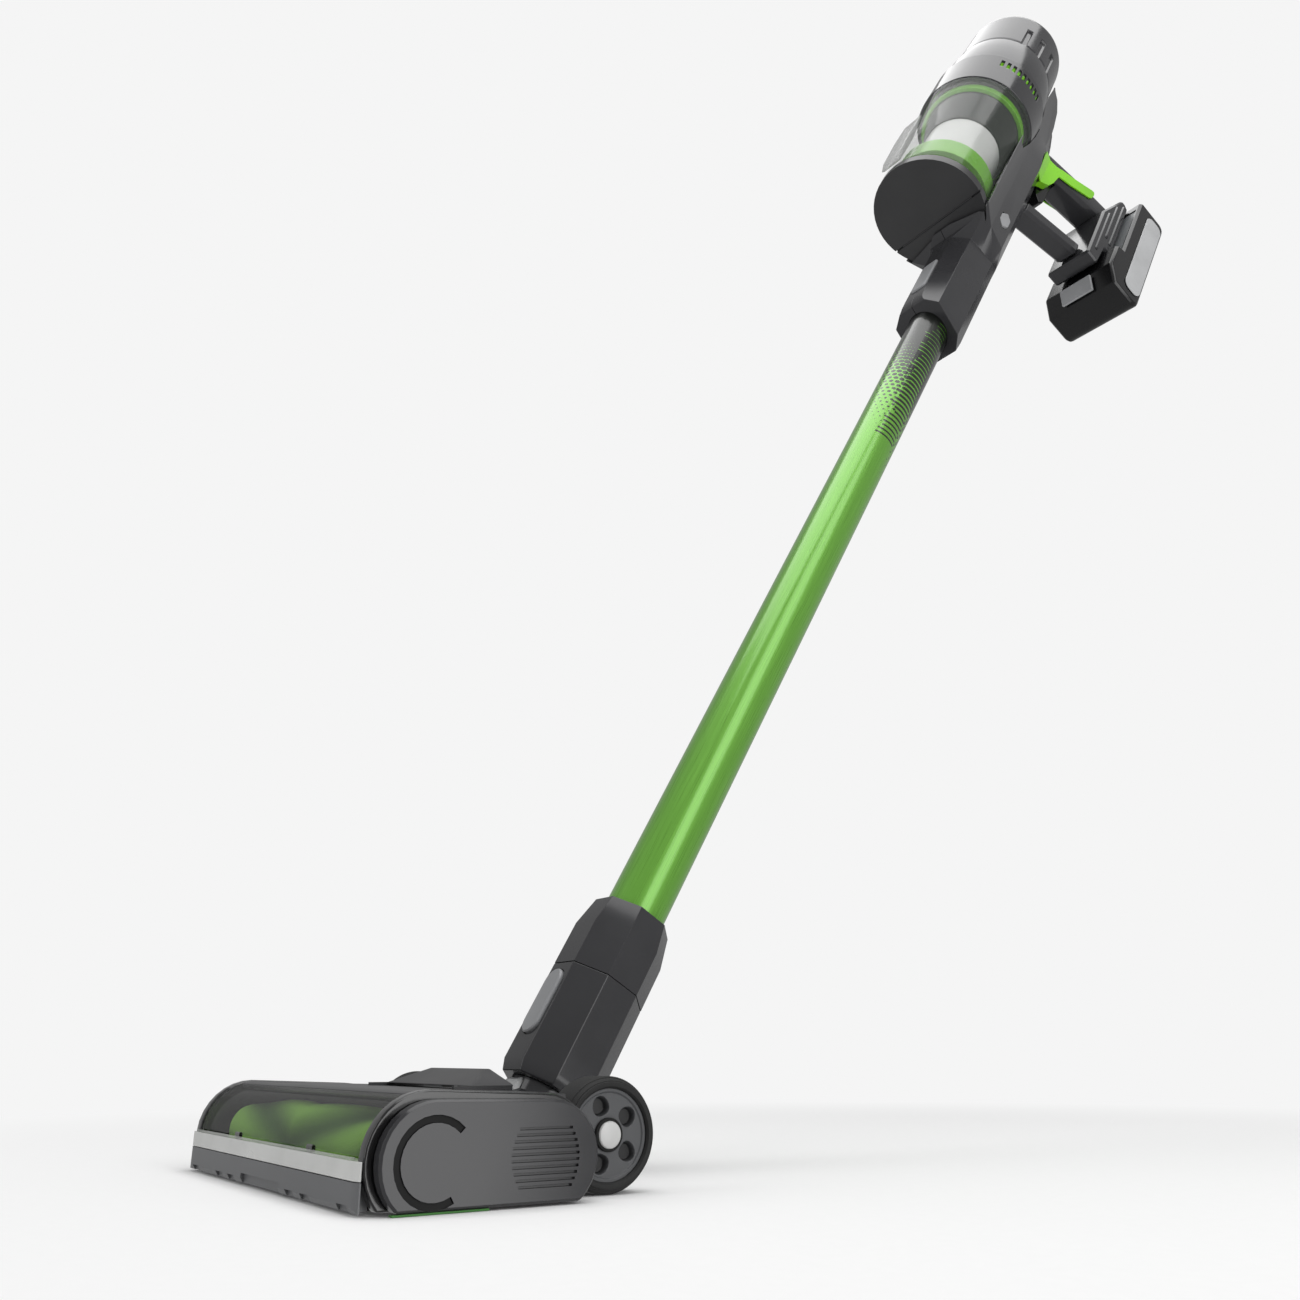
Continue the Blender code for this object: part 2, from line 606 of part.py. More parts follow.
def neck(wand):
    """The elbow: a barrel on the axle and a throat up to the connector."""
    elbow = joint("neck_swivel_axis", (0.0, 0.0, NECK_TOP), wand)
    throat_rings = [
        circle((0.0, -WAND_OFFSET * 0.8), BARREL_RADIUS * 0.85, 0.002),
        circle((0.0, -WAND_OFFSET * 0.3), NECK_RADIUS * 0.95, NECK_TOP * 0.6),
        circle((0.0, 0.0), NECK_RADIUS, NECK_TOP * 0.75),
        circle((0.0, 0.0), NECK_RADIUS, NECK_TOP),
    ]
    elbow_piece = swept("neck_elbow", throat_rings, elbow, GREY)
    barrel = rod("barrel_join", BARREL_RADIUS, -BARREL_HALF_WIDTH, BARREL_HALF_WIDTH,
                 (-WAND_OFFSET, 0.0), wand, None, "x", 28)
    join(elbow_piece, barrel)
    bore = rod("elbow_bore_cutter", AXLE_RADIUS + RUN_GAP, -0.1, 0.1, (-WAND_OFFSET, 0.0),
               wand, None, "x", 20)
    duct = rod("elbow_duct_cutter", TUBE_RADIUS - TUBE_WALL * 3, NECK_TOP * 0.62, NECK_TOP + 0.02,
               (0.0, 0.0), wand, None)
    cut(elbow_piece, bore, duct)


def connector(wand):
    """The eight-sided connector: a lower body with the release button, and a sleeve."""
    holder = joint("connector_axis", (0.0, 0.0, CONNECTOR_TOP), wand)
    base = [octagon(CONNECTOR_HALF_WIDTH - 0.002, CONNECTOR_BASE),
            octagon(CONNECTOR_HALF_WIDTH, CONNECTOR_BASE + 0.006),
            octagon(CONNECTOR_HALF_WIDTH, CONNECTOR_SEAM)]
    lower = swept("connector_body", base, holder, DARK)
    collar = [octagon(CONNECTOR_HALF_WIDTH, CONNECTOR_SEAM + GAP),
              octagon(CONNECTOR_HALF_WIDTH, CONNECTOR_TOP - CONNECTOR_CHAMFER),
              octagon(TUBE_RADIUS + 0.004, CONNECTOR_TOP)]
    sleeve = swept("connector_sleeve", collar, holder, DARK)
    bore = rod("connector_bore_cutter", SOCKET_BORE, TUBE_BASE - GAP, CONNECTOR_TOP + 0.02,
               (0.0, 0.0), wand, None, steps=32)
    duct = rod("connector_duct_cutter", TUBE_RADIUS - TUBE_WALL * 2, 0.0, TUBE_BASE + 0.01,
               (0.0, 0.0), wand, None)
    face = CONNECTOR_HALF_WIDTH
    middle = CONNECTOR_BASE + CONNECTOR_LOWER * 0.62
    width, height = 0.0075, 0.0190
    depth = 0.0048
    button_outline = box_outline(-width, width, middle - height, middle + height, 0.0073, 5)
    width, height = width + RUN_GAP, height + RUN_GAP
    pocket_outline = box_outline(-width, width, middle - height, middle + height, 0.0077, 5)
    pocket = extruded("head_button_cutter", pocket_outline, -face - 0.01, -face + depth, wand,
                      None, "y")
    cut(lower, bore, duct, pocket)
    cut(sleeve, bore)
    press = joint("head_button_axis", (0.0, -face, middle), wand)
    soften(extruded("head_release_button", button_outline, -face - 0.0018,
                    -face + depth - BUTTON_TRAVEL - 0.0006, press, GREY, "y"), 0.0008, 2)


def wand_tube(wand):
    """The green tube."""
    holder = joint("wand_axis", (0.0, 0.0, MOUTH), wand)
    top = MOUTH + TUBE_SEAT
    ring("wand_tube", TUBE_RADIUS - TUBE_WALL, TUBE_RADIUS, TUBE_BASE, top, (0.0, 0.0),
         holder, TUBE_GREEN, steps=40)


# ---- hand unit ------------------------------------------------------------------------------------
def spine_outline():
    """The side outline of the socket and spine, from the mouth up to beside the filter cap."""
    rear = SPINE_DEPTH
    front = -SOCKET_FRONT
    step = SOCKET_LENGTH
    saddle_front = -0.0340
    gap_low = STRUT_LEVEL + STRUT_HEIGHT
    grip_top = grip_base(GRIP_ROOT) + GRIP_HEIGHT
    return [
        (front + 0.0025, 0.016), (front + 0.0005, 0.021), (front, 0.030), (front, step - 0.038),
        (front, step - 0.004), (saddle_front, step), (saddle_front, CAP_BASE + 0.038),
        (-0.0060, CAP_BASE + 0.046), (0.0030, CAP_BASE + 0.042), (0.0100, CAP_BASE + 0.028),
        (0.0135, CAP_BASE + 0.004), (GRIP_ROOT - 0.010, grip_top + 0.016),
        (GRIP_ROOT - 0.003, grip_top + 0.004), (GRIP_ROOT - GAP, grip_top - 0.004),
        (GRIP_ROOT - GAP, gap_low + 0.010), (rear, gap_low), (rear, 0.014), (rear - 0.0020, 0.0),
    ]


def spine_section(hand):
    """The block the spine keeps inside: eight sides at the socket, wider where it wraps the bin."""
    front = -SOCKET_FRONT - 0.001
    rear = SPINE_DEPTH + 0.001
    half = SPINE_HALF_WIDTH
    wide = SADDLE_HALF_WIDTH
    socket = [(0.0095, front), (half, -0.016), (half, -0.002), (half, 0.013), (half / 2, rear)]
    saddle = [(0.0095, -0.036), (wide, -0.0285), (wide - 0.0118, -0.010), (half + 0.006, 0.012),
              (half / 2, rear)]
    beside_motor = [(0.0095, -0.036), (wide - 0.012, -0.024), (half + 0.003, -0.004),
                    (half - 0.003, 0.012), (half / 2, rear)]
    tip = [(0.0095, -0.036), (half - 0.003, -0.024), (half - 0.005, -0.004), (half - 0.009, 0.008),
           (half / 3, rear)]
    rings = []
    for level, right in ((-0.01, socket), (SOCKET_LENGTH - 0.012, socket),
                         (SOCKET_LENGTH + 0.004, saddle), (COLLAR_BASE, saddle),
                         (SHELL_BASE + 0.004, beside_motor), (CAP_TOP, tip)):
        outline = right + [(-x, t) for x, t in reversed(right)]
        rings.append([(x, t, level) for x, t in outline])
    return swept("spine_section_join", rings, hand, None)


def cradle_profile():
    """The seat in the spine, a little wider than the lid, the bin and the motor's shell."""
    lid_room = BIN_RADIUS + GAP * 2
    waist = BIN_BASE + BIN_LENGTH * 0.52
    shell_room = SHELL_RADIUS + GAP * 2
    shell_top = SHELL_BASE + MOTOR_SHELL_LENGTH
    cap_room = CAP_RADIUS + GAP * 3
    return [
        (0.0, SOCKET_LENGTH), (lid_room, SOCKET_LENGTH), (lid_room + 0.0004, waist),
        (CRADLE_RADIUS, COLLAR_BASE - GAP), (CRADLE_RADIUS, SHELL_BASE - GAP / 2),
        (shell_room, SHELL_BASE - GAP / 2), (shell_room, shell_top - 0.020),
        (cap_room, shell_top), (cap_room, CAP_TOP + 0.01), (0.0, CAP_TOP + 0.01),
    ]


def grip_base(reach):
    """Level of the grip's underside at a distance behind the wand's axis."""
    return STRUT_LEVEL + STRUT_HEIGHT + FINGER_ROOM + GRIP_RISE * (reach - GRIP_ROOT)


def spine(hand):
    """The two halves of the socket and spine, with the wand's socket and the air duct."""
    cradle = turned("cradle_cutter", cradle_profile(), (0.0, BIN_AXIS), hand, None, steps=48)
    socket = rod("socket_cutter", SOCKET_BORE, -0.01, TUBE_SEAT + GAP, (0.0, 0.0), hand, None,
                 steps=32)
    duct = rod("duct_cutter", 0.010, TUBE_SEAT - 0.004, SOCKET_LENGTH + 0.050, (0.0, 0.016), hand,
               None, steps=16)
    section = spine_section(hand)
    front = -SOCKET_FRONT
    middle = SOCKET_LENGTH * 0.48
    pocket_outline = box_outline(-0.0084, 0.0084, middle - 0.0204, middle + 0.0204, 0.003)
    pocket = extruded("wand_button_cutter", pocket_outline, front - 0.01, front + 0.0062, hand,
                      None, "y")
    button_face = SPINE_HALF_WIDTH + 0.0090
    button_centre = (0.0006, BIN_BUTTON_LEVEL)
    side_outline = hexagon(button_centre, 0.0098, 0.0056)
    side_pocket_outline = hexagon(button_centre, 0.0098 + RUN_GAP, 0.0056 + RUN_GAP)
    for side_name, side in SIDES:
        low, high = ordered(side, GAP / 2, SADDLE_HALF_WIDTH + 0.001)
        half = extruded("spine_" + side_name, spine_outline(), low, high, hand, DARK)
        apply_boolean(half, [section], "INTERSECT")
        low, high = ordered(side, button_face - 0.0052, button_face + 0.01)
        side_pocket = extruded("bin_button_cutter_" + side_name, side_pocket_outline, low, high,
                               hand, None)
        cut(soften(half, 0.0012), cradle, socket, duct, pocket, side_pocket)
        press = joint("bin_button_axis_" + side_name,
                      (side * button_face, *button_centre), hand)
        low, high = ordered(side, button_face - 0.0052 + BUTTON_TRAVEL + 0.0006,
                            button_face + 0.0012)
        extruded("bin_release_button_" + side_name, side_outline, low, high, press, GREY)
    press = joint("wand_button_axis", (0.0, front, middle), hand)
    button_outline = box_outline(-0.0080, 0.0080, middle - 0.0200, middle + 0.0200, 0.0026)
    soften(extruded("wand_release_button", button_outline, front - 0.0015,
                    front + 0.0062 - BUTTON_TRAVEL - 0.0006, press, GREY, "y"), 0.0008)


def hexagon(centre, half_height, half_width):
    """A hexagon that stands on a corner."""
    across, up = centre
    return [
        (across, up - half_height), (across + half_width, up - half_height * 0.45),
        (across + half_width, up + half_height * 0.45), (across, up + half_height),
        (across - half_width, up + half_height * 0.45), (across - half_width, up - half_height * 0.45),
    ]


def dust_bin(hand):
    """The clear bin, its lid in a fixed and a hinged part, the hinge pin and the latch."""
    centre = (0.0, BIN_AXIS)
    top = BIN_BASE + BIN_LENGTH
    wide = BIN_RADIUS + BIN_FLARE
    waist = BIN_BASE + BIN_LENGTH * 0.52
    profile = [
        (BIN_RADIUS, BIN_BASE), (BIN_RADIUS + 0.0004, waist), (wide, top),
        (wide - WALL, top), (BIN_RADIUS + 0.0004 - WALL, waist), (BIN_RADIUS - WALL, BIN_BASE),
    ]
    turned("dust_bin", profile, centre, hand, CLEAR, steps=48)
    hinge_line = BIN_AXIS + LID_HINGE_BACK
    pin_radius = 0.0008
    hinge_level = LID_BASE + pin_radius
    pin_room = rod("lid_pin_cutter", pin_radius + GAP, -0.1, 0.1, (hinge_line, hinge_level), hand,
                   None, "x", 12)
    fixed = rod("lid_fixed_part", BIN_RADIUS - GAP, LID_BASE, LID_BASE + LID_THICKNESS, centre,
                hand, BLACK, steps=48)
    keep_back = box_outline(BIN_AXIS - 2 * BIN_RADIUS, hinge_line + GAP / 2, LID_BASE - 0.01,
                            BIN_BASE + 0.01)
    cut(fixed, extruded("lid_back_cutter", keep_back, -0.1, 0.1, hand, None), pin_room)
    flap_axis = joint("lid_axis", (0.0, hinge_line, hinge_level), hand)
    flap = rod("bin_lid", BIN_RADIUS - GAP, LID_BASE, LID_BASE + LID_THICKNESS, centre, flap_axis,
               BLACK, steps=48)
    keep_front = box_outline(hinge_line - GAP / 2, 0.1, LID_BASE - 0.01, BIN_BASE + 0.01)
    cut(flap, extruded("lid_front_cutter", keep_front, -0.1, 0.1, hand, None), pin_room)
    pin_reach = 0.040
    rod("lid_hinge_pin", pin_radius, -pin_reach, pin_reach, (hinge_line, hinge_level), hand, STEEL,
        "x", 12)
    latch_front = BIN_AXIS - BIN_RADIUS - 0.0012
    middle = BIN_BASE + 0.038
    latch_top = middle + 0.032
    latch_axis = joint("latch_axis", (0.0, latch_front - 0.003, middle), hand)
    outline = [
        (latch_front, BIN_BASE - 0.002), (latch_front - 0.0020, BIN_BASE - 0.006),
        (latch_front - 0.0048, BIN_BASE + 0.004), (latch_front - 0.0060, middle),
        (latch_front - 0.0056, latch_top - 0.002), (latch_front - LATCH_STAND_OFF, latch_top),
        (latch_front, middle - 0.006),
    ]
    extruded("lid_latch", outline, -0.010, 0.010, latch_axis, CLEAR)


def cyclone(hand):
    """The separator inside the bin: skirt, screen, shroud, cone and top flange."""
    centre = (0.0, BIN_AXIS)
    low = BIN_BASE + 0.017
    high = low + CYCLONE_LENGTH
    radius = CYCLONE_RADIUS
    ring("cyclone_shroud", radius - 0.003, radius, low, high, centre, hand, PALE, steps=36)
    ring("mesh_screen", radius - 0.0055, radius - 0.0033, low, high, centre, hand, STEEL, steps=24)
    ring("cyclone_skirt", radius + GAP, radius + 0.0090, low + 0.001, low + 0.021, centre, hand,
         GREEN, steps=36)
    top = BIN_BASE + BIN_LENGTH
    flange_radius = BIN_RADIUS - WALL - 0.0006
    cone = [
        (radius - 0.004, high + GAP), (radius + 0.001, high + GAP),
        (flange_radius - 0.003, top - 0.0080), (flange_radius - 0.008, top - 0.0080),
    ]
    turned("cyclone_cone", cone, centre, hand, BLACK, steps=36)
    ring("cyclone_flange", flange_radius - 0.010, flange_radius, top - 0.0077, top - 0.0010, centre,
         hand, GREEN, steps=40)


def motor_stack(hand):
    """The collar with its vents, the motor's shell, motor, impeller, filter and end cap."""
    centre = (0.0, BIN_AXIS)
    collar = ring("bin_collar", COLLAR_RADIUS - 0.003, COLLAR_RADIUS, COLLAR_BASE,
                  COLLAR_BASE + COLLAR_LENGTH, centre, hand, DARK, steps=48)
    vent = COLLAR_BASE + COLLAR_LENGTH * 0.72
    slots = []
    for row in range(VENT_COUNT):
        across = BIN_AXIS - 0.0290 + VENT_PITCH * row
        outline = box_outline(across, across + VENT_PITCH / 2, vent - 0.0050, vent + 0.0050)
        slots.append(extruded("vent_cutter_" + str(row), outline, -0.1, 0.1, hand, None))
    cut(collar, *slots)
    ring("vent_ring", COLLAR_RADIUS - 0.0060, COLLAR_RADIUS - 0.0034, vent - 0.009, vent + 0.009,
         centre, hand, GREEN, steps=36)
    shell_top = SHELL_BASE + MOTOR_SHELL_LENGTH
    profile = [
        (SHELL_RADIUS - 0.003, SHELL_BASE), (SHELL_RADIUS, SHELL_BASE),
        (SHELL_RADIUS - 0.0004, shell_top - 0.020), (CAP_RADIUS + 0.0006, shell_top),
        (CAP_RADIUS - 0.003, shell_top),
    ]
    turned("motor_shell", profile, centre, hand, DARK, steps=48)
    motor_base = COLLAR_BASE + COLLAR_LENGTH - 0.010
    rod("suction_motor", CAP_RADIUS - 0.0090, motor_base, shell_top + 0.012, centre, hand, STEEL,
        steps=32)
    spin = joint("impeller_axis", (0.0, BIN_AXIS, motor_base), hand)
    fan = [
        (0.0, motor_base - 0.020), (0.010, motor_base - 0.020), (0.014, motor_base - 0.012),
        (CAP_RADIUS - 0.012, motor_base - 0.006), (CAP_RADIUS - 0.012, motor_base - 0.001),
        (0.0, motor_base - 0.001),
    ]
    turned("impeller", fan, centre, spin, STEEL, steps=28)
    twist = joint("cap_axis", (0.0, BIN_AXIS, CAP_BASE), hand)
    narrow = CAP_RADIUS - CAP_TAPER
    rounding = ((0.0180, 0.0), (0.0090, 0.0006), (0.0045, 0.0028), (0.0015, 0.0070), (0.0, 0.0120))
    outside = [(0.0, CAP_TOP)] + [(narrow - inset, CAP_TOP - drop) for inset, drop in rounding]
    outside += [(CAP_RADIUS, CAP_BASE + 0.004), (CAP_RADIUS - 0.0006, CAP_BASE)]
    inside = [
        (CAP_RADIUS - 0.0040, CAP_BASE), (narrow - 0.0040, CAP_TOP - 0.0120),
        (narrow - 0.0080, CAP_TOP - 0.0060), (0.0, CAP_TOP - 0.0050),
    ]
    turned("filter_cap", outside + inside, centre, twist, DARK, steps=44)
    filter_base = shell_top + 0.014
    ring("exhaust_filter", 0.015, narrow - 0.0055, filter_base, CAP_TOP - 0.012, centre, twist,
         FOAM, steps=32)


def handle(hand):
    """The strut and the grip between the spine and the battery dock."""
    def level(reach):
        return STRUT_LEVEL + 0.32 * (reach - STRUT_ROOT)
    far = DOCK_FRONT - GAP
    knee = BATTERY_TOP - DOCK_CHAMFER_HEIGHT
    chamfer_slope = DOCK_CHAMFER_DEPTH / DOCK_CHAMFER_HEIGHT
    strut_outline = [
        (STRUT_ROOT, level(STRUT_ROOT)), (far, level(far)), (far, level(far) + STRUT_HEIGHT),
        (STRUT_ROOT, level(STRUT_ROOT) + STRUT_HEIGHT),
    ]
    strut = extruded("front_strut", strut_outline, -STRUT_HALF_WIDTH, STRUT_HALF_WIDTH, hand, DARK)
    soften(strut, 0.003)
    rings = []
    for reach in (GRIP_ROOT, GRIP_ROOT + GRIP_LENGTH * 0.3, GRIP_ROOT + GRIP_LENGTH * 0.65, far):
        base = grip_base(reach)
        section = box_outline(-GRIP_HALF_WIDTH, GRIP_HALF_WIDTH, base, base + GRIP_HEIGHT, 0.009, 3)
        slope = chamfer_slope if reach == far else 0.0
        rings.append([(x, reach + slope * max(0.0, up - knee), up) for x, up in section])
    grip = swept("grip", rings, hand, DARK)
    trigger_back = GRIP_ROOT + 0.0220
    pocket_outline = box_outline(GRIP_ROOT - 0.01, trigger_back + 0.001, grip_base(GRIP_ROOT) - 0.02,
                                 grip_base(GRIP_ROOT) + 0.0130)
    pocket = extruded("trigger_cutter", pocket_outline, -0.0076, 0.0076, hand, None)
    cut(grip, pocket)
    base = grip_base(GRIP_ROOT)
    pull = joint("trigger_axis", (0.0, GRIP_ROOT + 0.0030, base + 0.002), hand)
    trigger_outline = [
        (GRIP_ROOT + 0.0010, base + 0.0050), (GRIP_ROOT + 0.0020, base - 0.016),
        (GRIP_ROOT + 0.0090, base - 0.031), (GRIP_ROOT + 0.0150, base - 0.036),
        (GRIP_ROOT + 0.0195, base - 0.031), (trigger_back - 0.0015, base - 0.004),
        (trigger_back - 0.0015, base + 0.0050),
    ]
    extruded("trigger", trigger_outline, -0.0070, 0.0070, pull, BLACK)
    start = GRIP_ROOT + 0.001
    bend = GRIP_ROOT + 0.016
    end = GRIP_ROOT + 0.063
    accent_outline = [
        (start, grip_base(start) + 0.0095), (bend, grip_base(bend) + 0.0095),
        (end - 0.006, grip_base(end) + 0.0105), (end, grip_base(end) + 0.0150),
        (end - 0.001, grip_base(end) + 0.0190), (bend + 0.008, grip_base(bend) + 0.0200),
        (start, grip_base(start) + 0.0195),
    ]
    for side_name, side in SIDES:
        low, high = ordered(side, GRIP_HALF_WIDTH + GAP, GRIP_HALF_WIDTH + 0.0012)
        extruded("grip_accent_" + side_name, accent_outline, low, high, hand, GREEN)


def battery_dock(hand):
    """The dock that joins strut and grip, with the terminal block the battery plugs on."""
    top = BATTERY_TOP
    low = DOCK_BASE
    bay = BATTERY_BASE + 0.052
    outline = [
        (DOCK_FRONT, low), (DOCK_FRONT + 0.016, low), (DOCK_FRONT + 0.018, bay),
        (DOCK_BACK, bay), (DOCK_BACK, top - 0.004), (DOCK_BACK - 0.006, top),
        (DOCK_FRONT + DOCK_CHAMFER_DEPTH, top), (DOCK_FRONT, top - DOCK_CHAMFER_HEIGHT),
    ]
    dock = extruded("battery_dock", outline, -DOCK_HALF_WIDTH, DOCK_HALF_WIDTH, hand, DARK)
    soften(dock, 0.002)


def battery(hand):
    """The battery pack: case, cells, side plates and the latch that lets it slide off."""
    slide = joint("battery_axis", (0.0, BATTERY_FRONT, BATTERY_BASE), hand)
    front = BATTERY_FRONT
    back = front + BATTERY_DEPTH
    low = BATTERY_BASE
    toe = DOCK_FRONT + 0.0190
    shoulder = low + 0.0510
    rounding = 0.009
    outline = [(front, BATTERY_TOP)]
    outline += [(front, shoulder), (toe, shoulder - 0.001), (toe, low + 0.018)]
    outline += [(front + 0.004, low)]
    outline += arc((back - rounding, low + rounding), rounding, 270, 360, 4)
    outline += arc((back - rounding, BATTERY_TOP - rounding), rounding, 0, 90, 4)
    case = extruded("battery_case", outline, -BATTERY_HALF_WIDTH, BATTERY_HALF_WIDTH, slide, BLACK)
    soften(case, 0.0025)
    cavity_outline = box_outline(front - 0.02, back - 0.004, shoulder + 0.006, BATTERY_TOP - 0.012)
    reach = BATTERY_HALF_WIDTH - 0.0045
    cut(case, extruded("cell_cutter", cavity_outline, -reach, reach, hand, None))
    cells = box_outline(front + 0.001, back - 0.0045, shoulder + 0.0065, BATTERY_TOP - 0.0125)
    extruded("cell_pack", cells, -reach + 0.0005, reach - 0.0005, slide, SILVER)
    middle = (BATTERY_BASE + BATTERY_TOP) / 2
    centre = back - 0.0040 - LABEL_WIDTH / 2
    label = box_outline(centre - LABEL_WIDTH / 2, centre + LABEL_WIDTH / 2,
                        middle - LABEL_LENGTH / 2, middle + LABEL_LENGTH / 2, 0.008, 4)
    for side_name, side in SIDES:
        lower, upper = ordered(side, BATTERY_HALF_WIDTH + GAP, BATTERY_HALF_WIDTH + 0.0013)
        extruded("battery_plate_" + side_name, label, lower, upper, slide, SILVER)
    slope_start = Vector((toe, low + 0.018))
    slope_end = Vector((front + 0.004, low))
    run = (slope_end - slope_start).normalized()
    outward = Vector((run.y, -run.x))
    if outward.x > 0:
        outward = -outward
    edge_a = slope_start + run * 0.003
    edge_b = slope_end - run * 0.003
    lift = outward * (BUTTON_TRAVEL + GAP)
    pad = outward * 0.0030
    press = joint("battery_latch_axis", (0.0, *((edge_a + edge_b) / 2)), hand)
    latch = [tuple(edge_a + lift), tuple(edge_b + lift), tuple(edge_b + lift + pad),
             tuple(edge_a + lift + pad)]
    extruded("battery_latch", latch, -0.017, 0.017, press, GREY)


def rest_on_floor(top_frame):
    """Centre the vacuum's footprint on the origin."""
    bpy.context.view_layer.update()
    depsgraph = bpy.context.evaluated_depsgraph_get()
    low, high = [], []
    for piece in bpy.data.objects:
        if piece.type == "MESH" and not piece.hide_render:
            shape = piece.evaluated_get(depsgraph)
            corners = [shape.matrix_world @ vertex.co for vertex in shape.data.vertices]
            low.append(min(corner.y for corner in corners))
            high.append(max(corner.y for corner in corners))
    top_frame.location.y = -(min(low) + max(high)) / 2


vacuum = frame("stick_vacuum", (0.0, 0.0, 0.0))
floor_head = joint("head_axis", AXLE, vacuum)
floor_head_frame = frame("head_frame", -AXLE, floor_head)
wand_foot = (0.0, AXLE.y + WAND_OFFSET * math.cos(LEAN), AXLE.z - WAND_OFFSET * math.sin(LEAN))
wand_frame = frame("wand_frame", wand_foot, vacuum, -LEAN)
hand_frame = frame("hand_frame", (0.0, 0.0, MOUTH), wand_frame)

for build in (sole, roller, brush_drive, hood, nose, rear_tub, end_pieces, wheels):
    build(floor_head_frame)
for build in (neck, connector, wand_tube):
    build(wand_frame)
for build in (spine, dust_bin, cyclone, motor_stack, handle, battery_dock, battery):
    build(hand_frame)
rest_on_floor(vacuum)
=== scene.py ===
"""Looks of a cordless stick vacuum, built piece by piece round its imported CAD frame.

Metres, +Z up.  Floor head pieces are placed from the brush roller's axis, wand and hand unit
pieces in wand coordinates (x, t, s): s runs up the leaning wand and t points to its rear.
"""

import json
import math

import bmesh
import bpy
import numpy as np
from mathutils import Matrix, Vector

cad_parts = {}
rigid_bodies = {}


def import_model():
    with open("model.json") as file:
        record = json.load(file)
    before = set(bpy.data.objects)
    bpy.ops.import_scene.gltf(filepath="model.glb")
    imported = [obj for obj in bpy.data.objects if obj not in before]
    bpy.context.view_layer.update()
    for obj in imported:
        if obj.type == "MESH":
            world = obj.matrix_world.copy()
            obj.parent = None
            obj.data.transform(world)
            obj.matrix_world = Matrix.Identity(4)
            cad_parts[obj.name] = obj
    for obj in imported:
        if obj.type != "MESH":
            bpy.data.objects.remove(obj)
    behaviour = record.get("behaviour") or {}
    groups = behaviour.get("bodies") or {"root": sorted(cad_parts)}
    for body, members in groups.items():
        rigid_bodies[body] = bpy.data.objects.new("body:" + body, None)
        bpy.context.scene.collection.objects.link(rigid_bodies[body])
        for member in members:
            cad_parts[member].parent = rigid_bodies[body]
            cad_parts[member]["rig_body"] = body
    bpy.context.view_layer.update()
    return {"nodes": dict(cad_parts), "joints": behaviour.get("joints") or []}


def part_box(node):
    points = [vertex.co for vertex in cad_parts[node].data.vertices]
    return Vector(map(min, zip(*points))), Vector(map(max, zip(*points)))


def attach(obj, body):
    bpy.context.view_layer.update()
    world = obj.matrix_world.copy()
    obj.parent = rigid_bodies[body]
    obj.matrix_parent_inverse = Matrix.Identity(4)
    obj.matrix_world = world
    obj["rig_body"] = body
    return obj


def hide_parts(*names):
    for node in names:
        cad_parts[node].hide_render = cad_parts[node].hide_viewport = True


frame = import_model()


# ---- Wand tube ---------------------------------------------------------------------------------
# A drawn aluminium tube, painted a clear green over the bright metal and printed with a dark
# screen of dots and dashes below its upper end.  It plugs into the socket and the connector.
joints = {joint["name"]: joint for joint in frame["joints"]}
WAND_UP = -np.array(joints["wand_slide"]["axis"])
WAND_BACK = np.cross(WAND_UP, (1.0, 0.0, 0.0))
NECK_TOP = 0.025
WAND_FOOT = np.array(joints["neck_swivel"]["pos_m"]) - NECK_TOP * WAND_UP


def on_wand(x, t, s):
    """Points foot + x·X + t·back + s·up, for numbers or arrays of matching shape."""
    x, t, s = np.broadcast_arrays(*(np.asarray(part, float) for part in (x, t, s)))
    return WAND_FOOT + x[..., None] * (1.0, 0.0, 0.0) + t[..., None] * WAND_BACK + s[..., None] * WAND_UP


def skin(name, grid, ring=True, loop=False, uv=None, tone=None, sharp=28.0):
    """Mesh of a grid of points (rows, columns, xyz): each four neighbours make a face.

    In a ring the last column joins the first, in a loop the last row joins the first, and a
    ring that isn't a loop is closed by a face at each end.  tone is one number per point.
    """
    rows, columns = grid.shape[:2]
    number = np.arange(rows * columns).reshape(rows, columns)
    above = np.roll(number, -1, 0) if loop else number[1:]
    here = number if loop else number[:-1]
    if ring:
        cells = np.stack([here, np.roll(here, -1, 1), np.roll(above, -1, 1), above], -1)
    else:
        cells = np.stack([here[:, :-1], here[:, 1:], above[:, 1:], above[:, :-1]], -1)
    faces = cells.reshape(-1, 4).tolist()
    if ring and not loop:
        faces += [number[0, ::-1].tolist(), number[-1].tolist()]
    mesh = bpy.data.meshes.new(name)
    mesh.from_pydata(grid.reshape(-1, 3).tolist(), [], faces)
    if tone is not None:
        values = mesh.attributes.new("tone", "FLOAT", "POINT")
        values.data.foreach_set("value", np.broadcast_to(tone, (rows, columns)).ravel().astype(np.float32))
    if uv is not None:
        corners = np.stack([uv[:-1, :-1], uv[:-1, 1:], uv[1:, 1:], uv[1:, :-1]], 2).reshape(-1, 2)
        layer = mesh.uv_layers.new(name="UVMap")
        whole = np.zeros((len(mesh.loops), 2))
        whole[:len(corners)] = corners
        layer.data.foreach_set("uv", whole.ravel())
    shape = bmesh.new()
    shape.from_mesh(mesh)
    bmesh.ops.recalc_face_normals(shape, faces=shape.faces)
    shape.to_mesh(mesh)
    shape.free()
    mesh.shade_smooth()
    mesh.set_sharp_from_angle(angle=math.radians(sharp))
    piece = bpy.data.objects.new(name, mesh)
    bpy.context.collection.objects.link(piece)
    return piece


